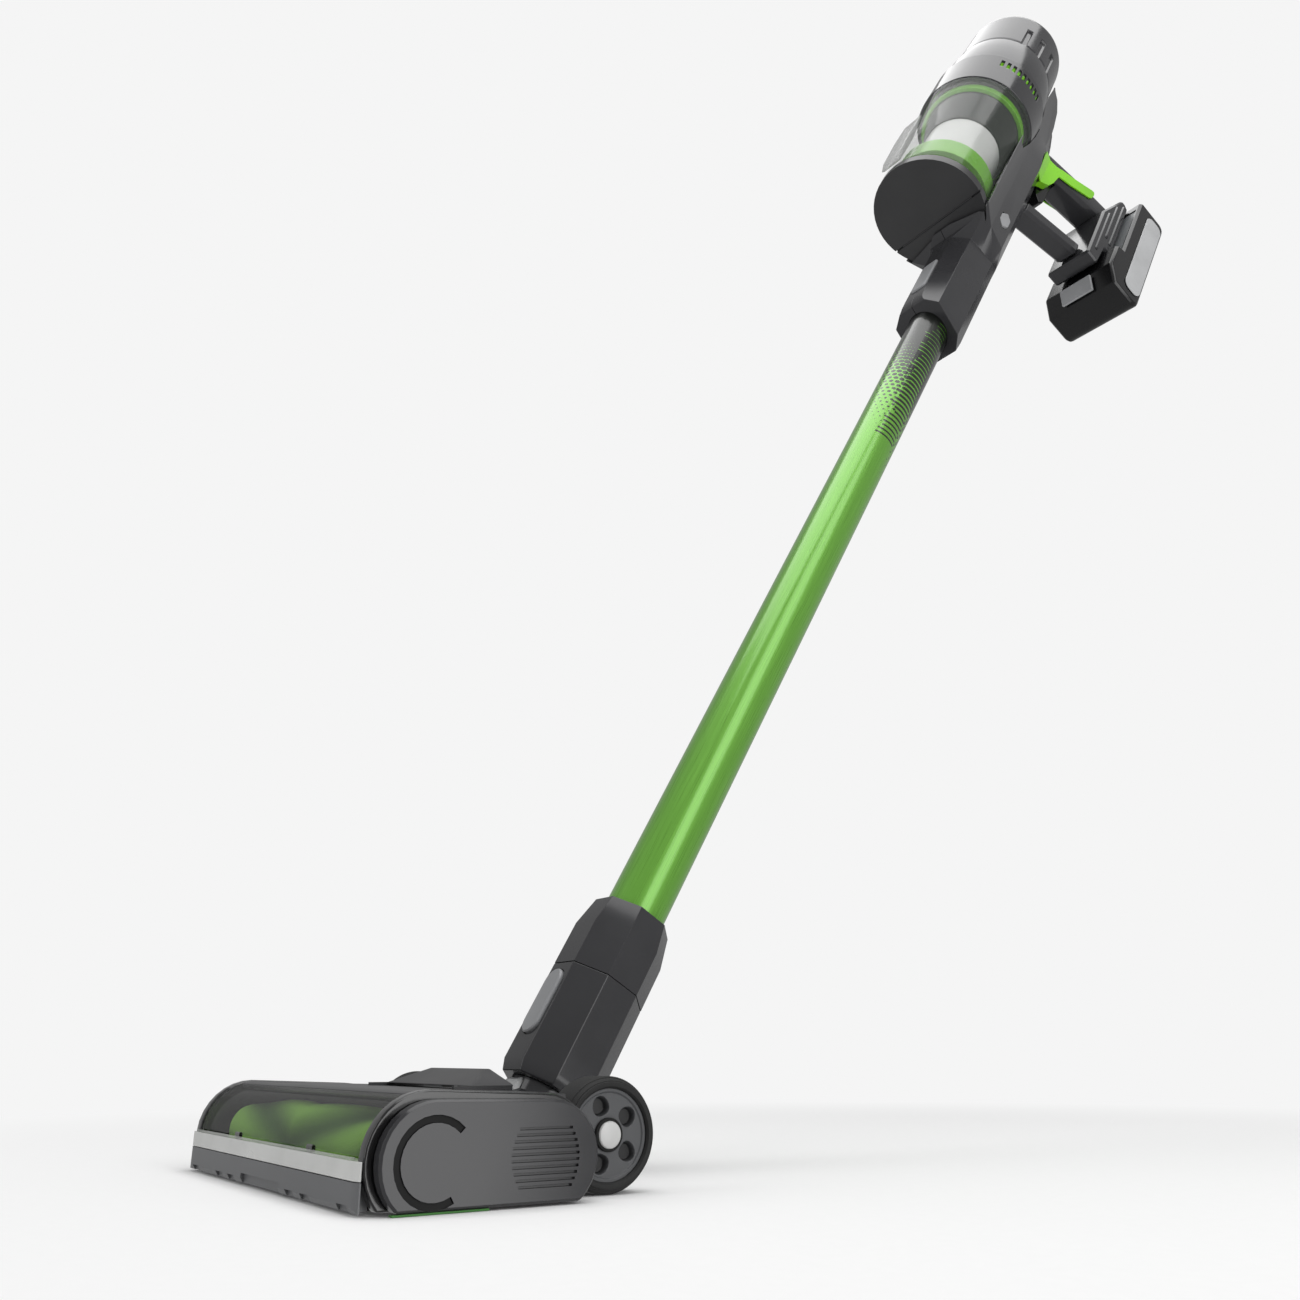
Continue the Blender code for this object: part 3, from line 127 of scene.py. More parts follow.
def linear(code):
    """sRGB hex to linear: c / 12.92 up to 0.04045, then ((c + 0.055) / 1.055) to the power 2.4."""
    share = np.array([int(code[i:i + 2], 16) for i in (1, 3, 5)]) / 255
    return (*np.where(share > 0.04045, ((share + 0.055) / 1.055) ** 2.4, share / 12.92).tolist(), 1.0)


def node(tree, kind, links=None, **settings):
    """Add one node; a setting is an input, by name or number, or a property; links feed inputs."""
    made = tree.nodes.new("ShaderNode" + kind)
    for key, value in settings.items():
        if hasattr(made, key):
            setattr(made, key, value)
        else:
            slot = int(key[2:]) if key.startswith("in") and key[2:].isdigit() else key.replace("_", " ")
            made.inputs[slot].default_value = value
    for key, source in (links or {}).items():
        tree.links.new(source, made.inputs[key])
    return made


def begin(name, **settings):
    """A new material with its Principled shader and the given constants on the shader."""
    material = bpy.data.materials.new(name)
    material.use_nodes = True
    shader = material.node_tree.nodes["Principled BSDF"]
    for key, value in settings.items():
        shader.inputs[key.replace("_", " ")].default_value = value
    return material, material.node_tree, shader


def use(piece, material, body, slot, *replaced):
    """Give a piece its material and body, and hide the nodes it stands for; slot is not used."""
    piece.data.materials.clear()
    piece.data.materials.append(material)
    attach(piece, body)
    if replaced:
        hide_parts(*replaced)
    return piece


def painted_tube():
    """Clear green paint over bright aluminium, with the dark print by UV (mm round, mm along).

    Dots lie on a honeycomb, each where its cell's centre is nearer than a radius that grows up
    the tube; a dash fills a share of its row's height that grows in the same way.
    """
    material, tree, shader = begin("green_lacquered_aluminium", Metallic=0.45, Coat_Weight=0.7,
                                   Coat_Roughness=0.12)
    place = node(tree, "UVMap", uv_map="UVMap")
    parts = node(tree, "SeparateXYZ", {0: place.outputs[0]})
    # honeycomb screen: a dot each 5 mm, every other row shifted by half a pitch
    pitch = 5.0
    row = node(tree, "Math", {0: parts.outputs["Y"]}, operation="DIVIDE", in1=pitch * 0.866)
    row_number = node(tree, "Math", {0: row.outputs[0]}, operation="FLOOR")
    odd = node(tree, "Math", {0: row_number.outputs[0]}, operation="MODULO", in1=2.0)
    shift = node(tree, "Math", {0: odd.outputs[0]}, operation="MULTIPLY", in1=0.5)
    column = node(tree, "Math", {0: parts.outputs["X"]}, operation="DIVIDE", in1=pitch)
    moved = node(tree, "Math", {0: column.outputs[0], 1: shift.outputs[0]}, operation="ADD")
    across = node(tree, "Math", {0: moved.outputs[0]}, operation="FRACT")
    along = node(tree, "Math", {0: row.outputs[0]}, operation="FRACT")
    centred_a = node(tree, "Math", {0: across.outputs[0]}, operation="SUBTRACT", in1=0.5)
    centred_b = node(tree, "Math", {0: along.outputs[0]}, operation="SUBTRACT", in1=0.5)
    both = node(tree, "CombineXYZ", {0: centred_a.outputs[0], 1: centred_b.outputs[0]})
    radius = node(tree, "VectorMath", {0: both.outputs[0]}, operation="LENGTH")
    # mm round the tube from its -X side, so that the seam lies there
    opposite = node(tree, "Math", {0: parts.outputs["X"]}, operation="ADD", in1=TUBE_ROUND / 2)
    turn = node(tree, "Math", {0: opposite.outputs[0]}, operation="MODULO", in1=TUBE_ROUND)
    # the dots grow up the tube from nothing to a full cover, and start lower nearer the dashes
    lead = node(tree, "Math", {0: turn.outputs[0]}, operation="MULTIPLY_ADD", in1=1.4, in2=-1.4 * DASH_EDGE)
    reach = node(tree, "Math", {0: parts.outputs["Y"], 1: lead.outputs[0]}, operation="ADD")
    grow = node(tree, "MapRange", {0: reach.outputs[0]}, in1=PRINT_START, in2=PRINT_FULL, in3=0.0,
                in4=0.78)
    dots = node(tree, "Math", {0: radius.outputs["Value"], 1: grow.outputs[0]}, operation="LESS_THAN")
    # dashes: a row each 4.6 mm, on one side of the tube, thinning downwards
    dash_row = node(tree, "Math", {0: parts.outputs["Y"]}, operation="DIVIDE", in1=4.6)
    dash_along = node(tree, "Math", {0: dash_row.outputs[0]}, operation="FRACT")
    dash_grow = node(tree, "MapRange", {0: parts.outputs["Y"]}, in1=PRINT_START + 8, in2=PRINT_FULL,
                     in3=0.35, in4=0.90)
    begun = node(tree, "Math", {0: parts.outputs["Y"]}, operation="GREATER_THAN", in1=PRINT_START + 8)
    thick = node(tree, "Math", {0: dash_grow.outputs[0], 1: begun.outputs[0]}, operation="MULTIPLY")
    dash = node(tree, "Math", {0: dash_along.outputs[0], 1: thick.outputs[0]}, operation="LESS_THAN")
    number = node(tree, "Math", {0: dash_row.outputs[0]}, operation="FLOOR")
    uneven = node(tree, "TexWhiteNoise", {"W": number.outputs[0]}, noise_dimensions="1D")
    edge = node(tree, "MapRange", {0: uneven.outputs["Value"]}, in1=0.0, in2=1.0, in3=DASH_EDGE - 1.0,
                in4=DASH_EDGE + 8.0)
    right = node(tree, "Math", {0: turn.outputs[0], 1: edge.outputs[0]}, operation="GREATER_THAN")
    far = node(tree, "Math", {0: turn.outputs[0]}, operation="LESS_THAN", in1=DASH_EDGE + 19.0)
    side = node(tree, "Math", {0: right.outputs[0], 1: far.outputs[0]}, operation="MULTIPLY")
    print_mask = node(tree, "Mix", {0: side.outputs[0], 2: dots.outputs[0], 3: dash.outputs[0]})
    # long drawn streaks, 0.4 mm across and a few centimetres long, show as uneven gloss
    scaled = node(tree, "Mapping", {0: place.outputs[0]}, Scale=(2.5, 0.02, 1.0))
    streak = node(tree, "TexNoise", {"Vector": scaled.outputs[0]}, Scale=1.0, Detail=3.0)
    paint = node(tree, "ValToRGB", {0: streak.outputs["Fac"]})
    paint.color_ramp.elements[0].color = linear("#5C9A2C")
    paint.color_ramp.elements[1].color = linear("#6CAB3A")
    paint.color_ramp.elements[0].position = 0.3
    paint.color_ramp.elements[1].position = 0.7
    colour = node(tree, "Mix", {0: print_mask.outputs[0], 6: paint.outputs[0]}, data_type="RGBA",
                  in7=linear("#171A16"))
    rough = node(tree, "MapRange", {0: streak.outputs["Fac"]}, in1=0.3, in2=0.7, in3=0.26, in4=0.34)
    tree.links.new(colour.outputs[2], shader.inputs["Base Color"])
    tree.links.new(rough.outputs[0], shader.inputs["Roughness"])
    return material


TUBE_RADIUS = 0.0175
TUBE_WALL = 0.0015
TUBE_START, TUBE_END = 0.047, 0.753
PRINT_START, PRINT_FULL = 548.0, 680.0     # mm up the wand
DASH_EDGE = 45.0                           # mm round the tube from its -X side, where dashes begin
TUBE_EASE = 0.0003                         # on the tube's cut edges
TUBE_ROUND = 2000 * math.pi * TUBE_RADIUS  # mm
half_turn = np.linspace(0, 2 * np.pi, 129)
walls = ((TUBE_RADIUS - TUBE_WALL, TUBE_START), (TUBE_RADIUS - TUBE_EASE, TUBE_START),
         (TUBE_RADIUS, TUBE_START + TUBE_EASE), (TUBE_RADIUS, 0.2), (TUBE_RADIUS, 0.4), (TUBE_RADIUS, 0.6),
         (TUBE_RADIUS, TUBE_END - TUBE_EASE), (TUBE_RADIUS - TUBE_EASE, TUBE_END),
         (TUBE_RADIUS - TUBE_WALL, TUBE_END))
radii, levels = (np.array(values)[:, None] for values in zip(*walls))
tube_grid = on_wand(radii * np.cos(half_turn[:-1]), radii * np.sin(half_turn[:-1]), levels)
tube_uv = np.stack(np.broadcast_arrays(half_turn * TUBE_RADIUS * 1000,
                                       np.append(levels, levels[:1], 0) * 1000), -1)
wand_tube = skin("wand_tube_painted", tube_grid, loop=True, uv=tube_uv)
use(wand_tube, painted_tube(), "wand", "wand_tube", "wand_tube")


# ---- Connector and neck ------------------------------------------------------------------------
# Injection-moulded ABS in dark grey: an eight-sided lower body with the release button in it, a
# sleeve with a tapered top, and a lighter grey elbow that swivels in its foot.
def moulded(name, code, rough=0.42, grain=0.9, depth=0.03, coat=0.0, spread=0.06):
    """Moulded ABS: one colour, with a fine spark-eroded grain (mm) and slightly uneven gloss."""
    material, tree, shader = begin(name, Coat_Weight=coat, Coat_Roughness=0.12)
    place = node(tree, "TexCoord")
    grains = node(tree, "TexNoise", {"Vector": place.outputs["Object"]}, Scale=1000 / grain, Detail=2.0)
    flow = node(tree, "TexNoise", {"Vector": place.outputs["Object"]}, Scale=1000 / 38.0, Detail=3.0)
    base = np.array(linear(code))
    ramp = node(tree, "ValToRGB", {0: flow.outputs["Fac"]})
    ramp.color_ramp.elements[0].position = 0.35
    ramp.color_ramp.elements[1].position = 0.65
    ramp.color_ramp.elements[0].color = (*(base[:3] * 0.93), 1.0)
    ramp.color_ramp.elements[1].color = (*np.minimum(base[:3] * 1.07, 1.0), 1.0)
    gloss = node(tree, "MapRange", {0: flow.outputs["Fac"]}, in1=0.3, in2=0.7, in3=rough - spread / 2,
                 in4=rough + spread / 2)
    bump = node(tree, "Bump", {"Height": grains.outputs["Fac"]}, Strength=depth, Distance=0.0003)
    tree.links.new(ramp.outputs[0], shader.inputs["Base Color"])
    tree.links.new(gloss.outputs[0], shader.inputs["Roughness"])
    tree.links.new(bump.outputs[0], shader.inputs["Normal"])
    return material


def eased(name, width, material, segments=2):
    """A copy of a CAD node, its doubles merged and flat faces joined, with its edges rounded."""
    source = frame["nodes"][name]
    shape = bmesh.new()
    shape.from_mesh(source.data)
    bmesh.ops.remove_doubles(shape, verts=shape.verts, dist=1e-6)
    bmesh.ops.dissolve_limit(shape, angle_limit=math.radians(0.4), verts=shape.verts, edges=shape.edges)
    mesh = bpy.data.meshes.new(name + "_eased")
    shape.to_mesh(mesh)
    shape.free()
    piece = bpy.data.objects.new(name + "_eased", mesh)
    bpy.context.collection.objects.link(piece)
    bevel = piece.modifiers.new("edges", "BEVEL")
    bevel.width = width
    bevel.segments = segments
    bevel.limit_method = "ANGLE"
    bevel.angle_limit = math.radians(28)
    mesh.shade_smooth()
    even = piece.modifiers.new("flat_faces_stay_flat", "WEIGHTED_NORMAL")
    even.weight = 100
    even.keep_sharp = True
    return use(piece, material, source["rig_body"], name, name)


def carried(material, *names):
    """CAD nodes that stay as they are, with a better material."""
    for name in names:
        mesh = frame["nodes"][name].data
        mesh.materials.clear()
        mesh.materials.append(material)


dark_plastic = moulded("moulded_abs_charcoal", "#313133", rough=0.16, depth=0.012)
black_plastic = moulded("moulded_abs_black", "#111112", rough=0.17, depth=0.012)
grey_plastic = moulded("moulded_abs_grey", "#8B8C8E", rough=0.38)
eased("connector_body", 0.0009, dark_plastic)
eased("connector_sleeve", 0.0009, dark_plastic)
eased("head_release_button", 0.0006, grey_plastic)
eased("neck_elbow", 0.0008, dark_plastic)


CATCH_MIDDLE = 0.0190           # up the wand


def neck_catch():
    """A small wedge on the elbow's front, carried straight across: its outline is in t and s."""
    x = np.array([-0.0070, -0.0062, 0.0062, 0.0070])[:, None]
    shrink = np.array([0.6, 1.0, 1.0, 0.6])[:, None]
    t = -0.0205 + np.array([0.0016, 0.0, 0.0004, 0.0022, 0.0050, 0.0050])
    s = CATCH_MIDDLE + np.array([-0.0052, -0.0034, 0.0030, 0.0050, 0.0044, -0.0048]) * shrink
    return skin("neck_catch", on_wand(np.broadcast_to(x, s.shape), np.broadcast_to(t, s.shape), s))


use(neck_catch(), moulded("moulded_abs_light_grey", "#B4B5B5", rough=0.3), "elbow", "neck_elbow")


# ---- Floor head shell ----------------------------------------------------------------------------
# Charcoal ABS mouldings: sole plate, rear tub, top cover, raised hump, grooved end caps over
# gloss black end walls, and a bumper with cut-outs along its lower edge.  A thin rib closes the
# slit under the hump on each side, and a green seal runs under each end cap.
ROLLER = np.array(joints["brush_spin"]["pos_m"])
carried(black_plastic, "rear_tub", "sole_plate")
satin_plastic = moulded("moulded_abs_charcoal_satin", "#2E2E30", rough=0.34, depth=0.012)
eased("top_cover", 0.0005, satin_plastic)
eased("hump_cover", 0.0016, satin_plastic, 3)
gloss_black = moulded("moulded_abs_gloss_black", "#0E0E0F", rough=0.16, depth=0.0, coat=0.6)
for side in ("left", "right"):
    eased("end_wall_" + side, 0.0010, gloss_black)
    eased("end_cap_" + side, 0.0004, dark_plastic)
eased("front_bumper", 0.0004, moulded("moulded_abs_bumper_grey", "#5E5F61", rough=0.36, coat=0.1))
strip_material = moulded("opal_acrylic", "#C9CAC8", rough=0.25, coat=0.4)
eased("light_strip", 0.0004, strip_material)
GROOVE_OUTER, GROOVE_INNER = 0.0170, 0.0142
GROOVE_FLOOR = 0.1236


def groove_liner(name, side):
    """A slab round part of a circle, a sheet of painted shade in an end cap's groove: centre + radius·(cos
    a, sin a), a from 45 to 300 degrees.
    """
    angle = np.radians(np.linspace(46, 299, 72))[:, None]
    radius = np.array([GROOVE_INNER + 0.0001, GROOVE_OUTER - 0.0001] * 2)[[0, 1, 3, 2]]
    depth = np.array([0.0001, 0.0001, 0.0007, 0.0007])
    grid = np.stack(np.broadcast_arrays(side * (GROOVE_FLOOR + depth), ROLLER[1] + radius * np.cos(angle),
                                        ROLLER[2] + radius * np.sin(angle)), -1)
    return skin(name, grid)


accent = moulded("moulded_abs_bright_green", "#7BC51F", rough=0.35, coat=0.2)
# matt black; besides the hub seats it paints shade as a sheet in each end cap's groove
matt_black_with_groove_shade = moulded("moulded_abs_matt_black", "#070707", rough=0.75, depth=0.0)
# painted shade: a matt black sheet on the floor of each end cap's groove, where its shadow falls
for side_name, side in (("left", 1), ("right", -1)):
    use(groove_liner("groove_liner_" + side_name, side), matt_black_with_groove_shade, "head", "end_cap_" + side_name)


def box_piece(name, low, high, chamfer=0.0):
    """A block from corner to corner; its four long edges along X may be cut back by a chamfer."""
    (x0, y0, z0), (x1, y1, z1) = low, high
    c = chamfer
    across = np.array([(y0 + c, z0), (y1 - c, z0), (y1, z0 + c), (y1, z1 - c), (y1 - c, z1), (y0 + c, z1),
                       (y0, z1 - c), (y0, z0 + c)] if c else [(y0, z0), (y1, z0), (y1, z1), (y0, z1)])
    x = np.array([x0, x1])[:, None]
    return skin(name, np.stack(np.broadcast_arrays(x, across[:, 0], across[:, 1]), -1))


HUMP_LOW, HUMP_HIGH = (np.array(corner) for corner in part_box("hump_cover"))
SKIRT_DEPTH, SKIRT_LENGTH = 0.0040, 0.0320


def hump_skirt(name, side):
    """A thin rib that closes the slit under the hump's rear half, on one side."""
    inner, outer = sorted((side * (HUMP_HIGH[0] - 0.0030), side * (HUMP_HIGH[0] - 0.0008)))
    return box_piece(name, (inner, HUMP_HIGH[1] - SKIRT_LENGTH, HUMP_LOW[2] - SKIRT_DEPTH),
                     (outer, HUMP_HIGH[1] - 0.0020, HUMP_LOW[2] + 0.0004))


for side_name, side in (("left", 1), ("right", -1)):
    use(hump_skirt("hump_skirt_" + side_name, side), satin_plastic, "head", "hump_cover")

STRIP_LOW, STRIP_HIGH = (np.array(corner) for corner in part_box("light_strip"))
LEDGE_RISE = 0.0012
LEDGE_HALF = 0.1095
CLIP_PLACES = (-0.046, 0.056)


def clear(name, code, alpha, rough=0.05):
    """Clear polycarbonate, moulded thin: tinted, glossy and mostly see-through."""
    material, tree, shader = begin(name, Alpha=alpha, IOR=1.58, Coat_Weight=1.0, Coat_Roughness=0.03)
    place = node(tree, "TexCoord")
    flow = node(tree, "TexNoise", {"Vector": place.outputs["Object"]}, Scale=1000 / 25.0, Detail=2.0)
    gloss = node(tree, "MapRange", {0: flow.outputs["Fac"]}, in1=0.3, in2=0.7, in3=rough, in4=rough * 1.6)
    ramp = node(tree, "ValToRGB", {0: flow.outputs["Fac"]})
    base = np.array(linear(code))
    ramp.color_ramp.elements[0].color = (*(base[:3] * 0.92), 1.0)
    ramp.color_ramp.elements[1].color = (*base[:3], 1.0)
    tree.links.new(ramp.outputs[0], shader.inputs["Base Color"])
    tree.links.new(gloss.outputs[0], shader.inputs["Roughness"])
    return material


window_clear = clear("smoked_polycarbonate", "#20241C", 0.22)
eased("hood_window", 0.0004, window_clear)
ledge = box_piece("window_ledge", (-LEDGE_HALF, STRIP_LOW[1] + 0.0002, STRIP_HIGH[2] + 0.0001),
                  (LEDGE_HALF, STRIP_LOW[1] + 0.0020, STRIP_HIGH[2] + LEDGE_RISE), 0.0003)
use(ledge, clear("clear_polycarbonate_ledge", "#B9BDB6", 0.35), "head", "hood_window")
for number, x in enumerate(CLIP_PLACES):
    clip = box_piece("window_clip_%d" % number, (x - 0.0035, STRIP_LOW[1] + 0.0024, STRIP_HIGH[2] + 0.0001),
                     (x + 0.0035, STRIP_LOW[1] + 0.0040, STRIP_HIGH[2] + 0.0028), 0.0005)
    use(clip, gloss_black, "head", "hood_window")


SEAL_LOW, SEAL_HIGH = -0.016, 0.024     # reach of the seal, from the roller's axis


def end_seal(name, side):
    """A thin green blade under an end cap, straight from front to rear."""
    low, high = (np.array(corner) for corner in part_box("end_cap_" + ("left" if side > 0 else "right")))
    x = sorted((side * (high[0] if side > 0 else -low[0]) - side * 0.0008,
                side * (high[0] if side > 0 else -low[0]) - side * 0.0040))
    return box_piece(name, (x[0], ROLLER[1] + SEAL_LOW, low[2] - 0.0010),
                     (x[1], ROLLER[1] + SEAL_HIGH, low[2] - 0.0003))


seal_rubber = moulded("green_silicone_rubber", "#2F7420", rough=0.5)
for side_name, side in (("left", 1), ("right", -1)):
    use(end_seal("end_seal_" + side_name, side), seal_rubber, "head", "end_cap_" + side_name)


# ---- Brush roller --------------------------------------------------------------------------------
# A soft roller: green plush pile in three lobes that wind round a core, on a steel stub at each
# end, with the belt's pulley ring at one end.
ROLLER_HALF = 0.0913
PILE_RADIUS = 0.0181
PILE_DROP = 0.0030


def roller_pile():
    """Radius = tip - drop * (1 - wave)^1.3, wave = (cos(3a + twist(x)) + 1) / 2, in x and angle a."""
    x = np.linspace(-ROLLER_HALF, ROLLER_HALF, 260)[:, None]
    angle = np.linspace(0, 2 * np.pi, 144, endpoint=False)[None]
    twist = 2 * np.pi * 0.75 * np.abs(x) / ROLLER_HALF
    wave = (np.cos(3 * angle + twist) + 1) / 2
    end = np.clip((ROLLER_HALF - np.abs(x)) / 0.004, 0, 1)
    tuft = 0.00016 * np.sin(angle * 72) * np.sin(x * 5200 + angle * 36)
    radius = PILE_RADIUS - 0.0002 - PILE_DROP * (1 - wave) ** 1.3 + tuft - 0.002 * (1 - end) ** 2
    grid = np.stack(np.broadcast_arrays(x, ROLLER[1] + radius * np.cos(angle),
                                        ROLLER[2] + radius * np.sin(angle)), -1)
    # tone is the lobes' height; the pile's material turns it into painted shade in the grooves
    return skin("roller_pile", grid, tone=wave, sharp=60)


def plush():
    """Nylon pile with a fibrous roughness and sheen: bright green at the tips, darkened by painted shade to
    deep green at the roots, down in the grooves between the lobes.
    """
    material, tree, shader = begin("nylon_pile_green", Roughness=0.85, Sheen_Weight=0.08)
    height = node(tree, "Attribute", attribute_name="tone")
    place = node(tree, "TexCoord")
    fibre = node(tree, "TexNoise", {"Vector": place.outputs["Object"]}, Scale=1000 / 0.7, Detail=3.0)
    mixed = node(tree, "Math", {0: fibre.outputs["Fac"]}, operation="MULTIPLY_ADD", in1=0.5, in2=-0.25)
    level = node(tree, "Math", {0: height.outputs["Fac"], 1: mixed.outputs[0]}, operation="ADD")
    # painted shade: the pile darkens towards its roots, where the grooves between the lobes lie in shadow
    ramp = node(tree, "ValToRGB", {0: level.outputs[0]})
    ramp.color_ramp.elements[0].color = linear("#3E6B20")
    ramp.color_ramp.elements[1].color = linear("#93D04C")
    bump = node(tree, "Bump", {"Height": fibre.outputs["Fac"]}, Strength=0.5, Distance=0.0008)
    tree.links.new(ramp.outputs[0], shader.inputs["Base Color"])
    tree.links.new(bump.outputs[0], shader.inputs["Normal"])
    return material


def turned(name, profile, centre, axis, steps=96, closed=False, sharp=28.0):
    """Profile of (radius, height), carried round an axis: centre + height·axis + radius·(turn)."""
    radius, height = (np.array(values)[:, None] for values in zip(*profile))
    axis = np.array(axis, float)
    side = np.cross(axis, (0.0, 0.0, 1.0) if abs(axis[2]) < 0.9 else (0.0, 1.0, 0.0))
    side /= np.linalg.norm(side)
    other = np.cross(axis, side)
    angle = np.linspace(0, 2 * np.pi, steps, endpoint=False)[None]
    grid = (np.array(centre) + height[..., None] * axis
            + (radius * np.cos(angle))[..., None] * side + (radius * np.sin(angle))[..., None] * other)
    return skin(name, grid, loop=closed, sharp=sharp)


def metal(name, code, rough, streak=0.6):
    """Bare turned or drawn metal with fine tool marks; the marks show as uneven gloss."""
    material, tree, shader = begin(name, Metallic=1.0)
    place = node(tree, "TexCoord")
    mark = node(tree, "TexNoise", {"Vector": place.outputs["Object"]}, Scale=1000 / streak, Detail=3.0)
    ramp = node(tree, "ValToRGB", {0: mark.outputs["Fac"]})
    base = np.array(linear(code))
    ramp.color_ramp.elements[0].color = (*(base[:3] * 0.85), 1.0)
    ramp.color_ramp.elements[1].color = (*base[:3], 1.0)
    gloss = node(tree, "MapRange", {0: mark.outputs["Fac"]}, in1=0.3, in2=0.7, in3=rough * 0.8,
                 in4=rough * 1.2)
    tree.links.new(ramp.outputs[0], shader.inputs["Base Color"])
    tree.links.new(gloss.outputs[0], shader.inputs["Roughness"])
    return material


steel = metal("turned_steel", "#B9BCBF", 0.28)
use(roller_pile(), plush(), "brush", "brush_roller", "brush_roller")
CORE_RADIUS, STUB_RADIUS, STUB_END = 0.0130, 0.0039, 0.1099
PULLEY_RADIUS, PULLEY_START, PULLEY_END = 0.0098, 0.0914, 0.1006
STUB_EASE = 0.0002
core_profile = [(0.0005, -STUB_END), (STUB_RADIUS - STUB_EASE, -STUB_END),
                (STUB_RADIUS, STUB_EASE - STUB_END), (STUB_RADIUS, -0.0914), (CORE_RADIUS, -0.0913),
                (CORE_RADIUS, PULLEY_START), (PULLEY_RADIUS, PULLEY_START), (PULLEY_RADIUS, PULLEY_END),
                (STUB_RADIUS, PULLEY_END), (STUB_RADIUS, STUB_END - STUB_EASE),
                (STUB_RADIUS - STUB_EASE, STUB_END), (0.0005, STUB_END)]
roller_core = turned("roller_core", core_profile, ROLLER, (1, 0, 0), 48)
use(roller_core, black_plastic, "brush", "brush_roller", "brush_roller")
carried(steel, "roller_bearing_left", "roller_bearing_right", "wheel_axle", "motor_pulley", "brush_motor")
rubber = moulded("vulcanised_rubber", "#1B1B1B", rough=0.7, grain=0.6, depth=0.08)
carried(rubber, "drive_belt")


# ---- Rear wheels ---------------------------------------------------------------------------------
# A stepped rubber tyre on a grey nylon hub with five rounded pockets and a pale pressed-in cap.
AXLE = np.array(joints["head_pitch"]["pos_m"])
WHEEL_FACE = 0.1064
WHEEL_WIDTH = 0.0180
WHEEL_RADIUS = 0.0241
HUB_RADIUS = 0.0190
POCKET_COUNT, POCKET_RADIUS, POCKET_DEPTH = 5, 0.0043, 0.0034
POCKET_CIRCLE = 0.0124          # from the axle to a pocket's centre


def hub_face(name, side):
    """Polar grid: the face sinks by 3.4 mm inside five round pockets, 12.4 mm from the axle."""
    radius = np.concatenate([[0.0004], np.linspace(0.0050, HUB_RADIUS, 84)])[:, None]
    angle = np.linspace(0, 2 * np.pi, 240, endpoint=False)[None]
    spoke = (np.mod(angle * POCKET_COUNT / (2 * np.pi), 1) - 0.5) * 2 * np.pi * radius / POCKET_COUNT
    pocket = np.clip((POCKET_RADIUS - np.hypot(radius - POCKET_CIRCLE, spoke)) / 0.0011, 0, 1)
    pocket = pocket * pocket * (3 - 2 * pocket)
    rim = 0.0008 * np.clip((radius - 0.0172) / 0.0006, 0, 1)
    out = WHEEL_FACE - 0.0028 - POCKET_DEPTH * pocket + rim
    back = np.full((1, 240), WHEEL_FACE - WHEEL_WIDTH + 0.0004)
    out = np.concatenate([out, back, back])
    radius = np.concatenate([np.broadcast_to(radius, (85, 240)), np.full((1, 240), HUB_RADIUS),
                             np.full((1, 240), 0.0034)])
    # tone marks the pockets; the hub's material turns it into painted shade
    tone = np.concatenate([pocket, np.zeros((2, 240))])
    grid = np.stack(np.broadcast_arrays(side * out, AXLE[1] + radius * np.cos(angle),
                                        AXLE[2] + radius * np.sin(angle)), -1)
    return skin(name, grid, tone=tone, sharp=50)


def nylon_hub():
    """Grey nylon, with painted shade that turns it near black in the pockets, where light hardly reaches.
    """
    material, tree, shader = begin("moulded_nylon_hub", Roughness=0.45)
    depth = node(tree, "Attribute", attribute_name="tone")
    place = node(tree, "TexCoord")
    grain = node(tree, "TexNoise", {"Vector": place.outputs["Object"]}, Scale=1000 / 0.8, Detail=2.0)
    ramp = node(tree, "ValToRGB", {0: depth.outputs["Fac"]})
    ramp.color_ramp.elements[0].color = linear("#4E4F51")
    ramp.color_ramp.elements[1].color = linear("#1C1C1D")
    bump = node(tree, "Bump", {"Height": grain.outputs["Fac"]}, Strength=0.05, Distance=0.0003)
    tree.links.new(ramp.outputs[0], shader.inputs["Base Color"])
    tree.links.new(bump.outputs[0], shader.inputs["Normal"])
    return material


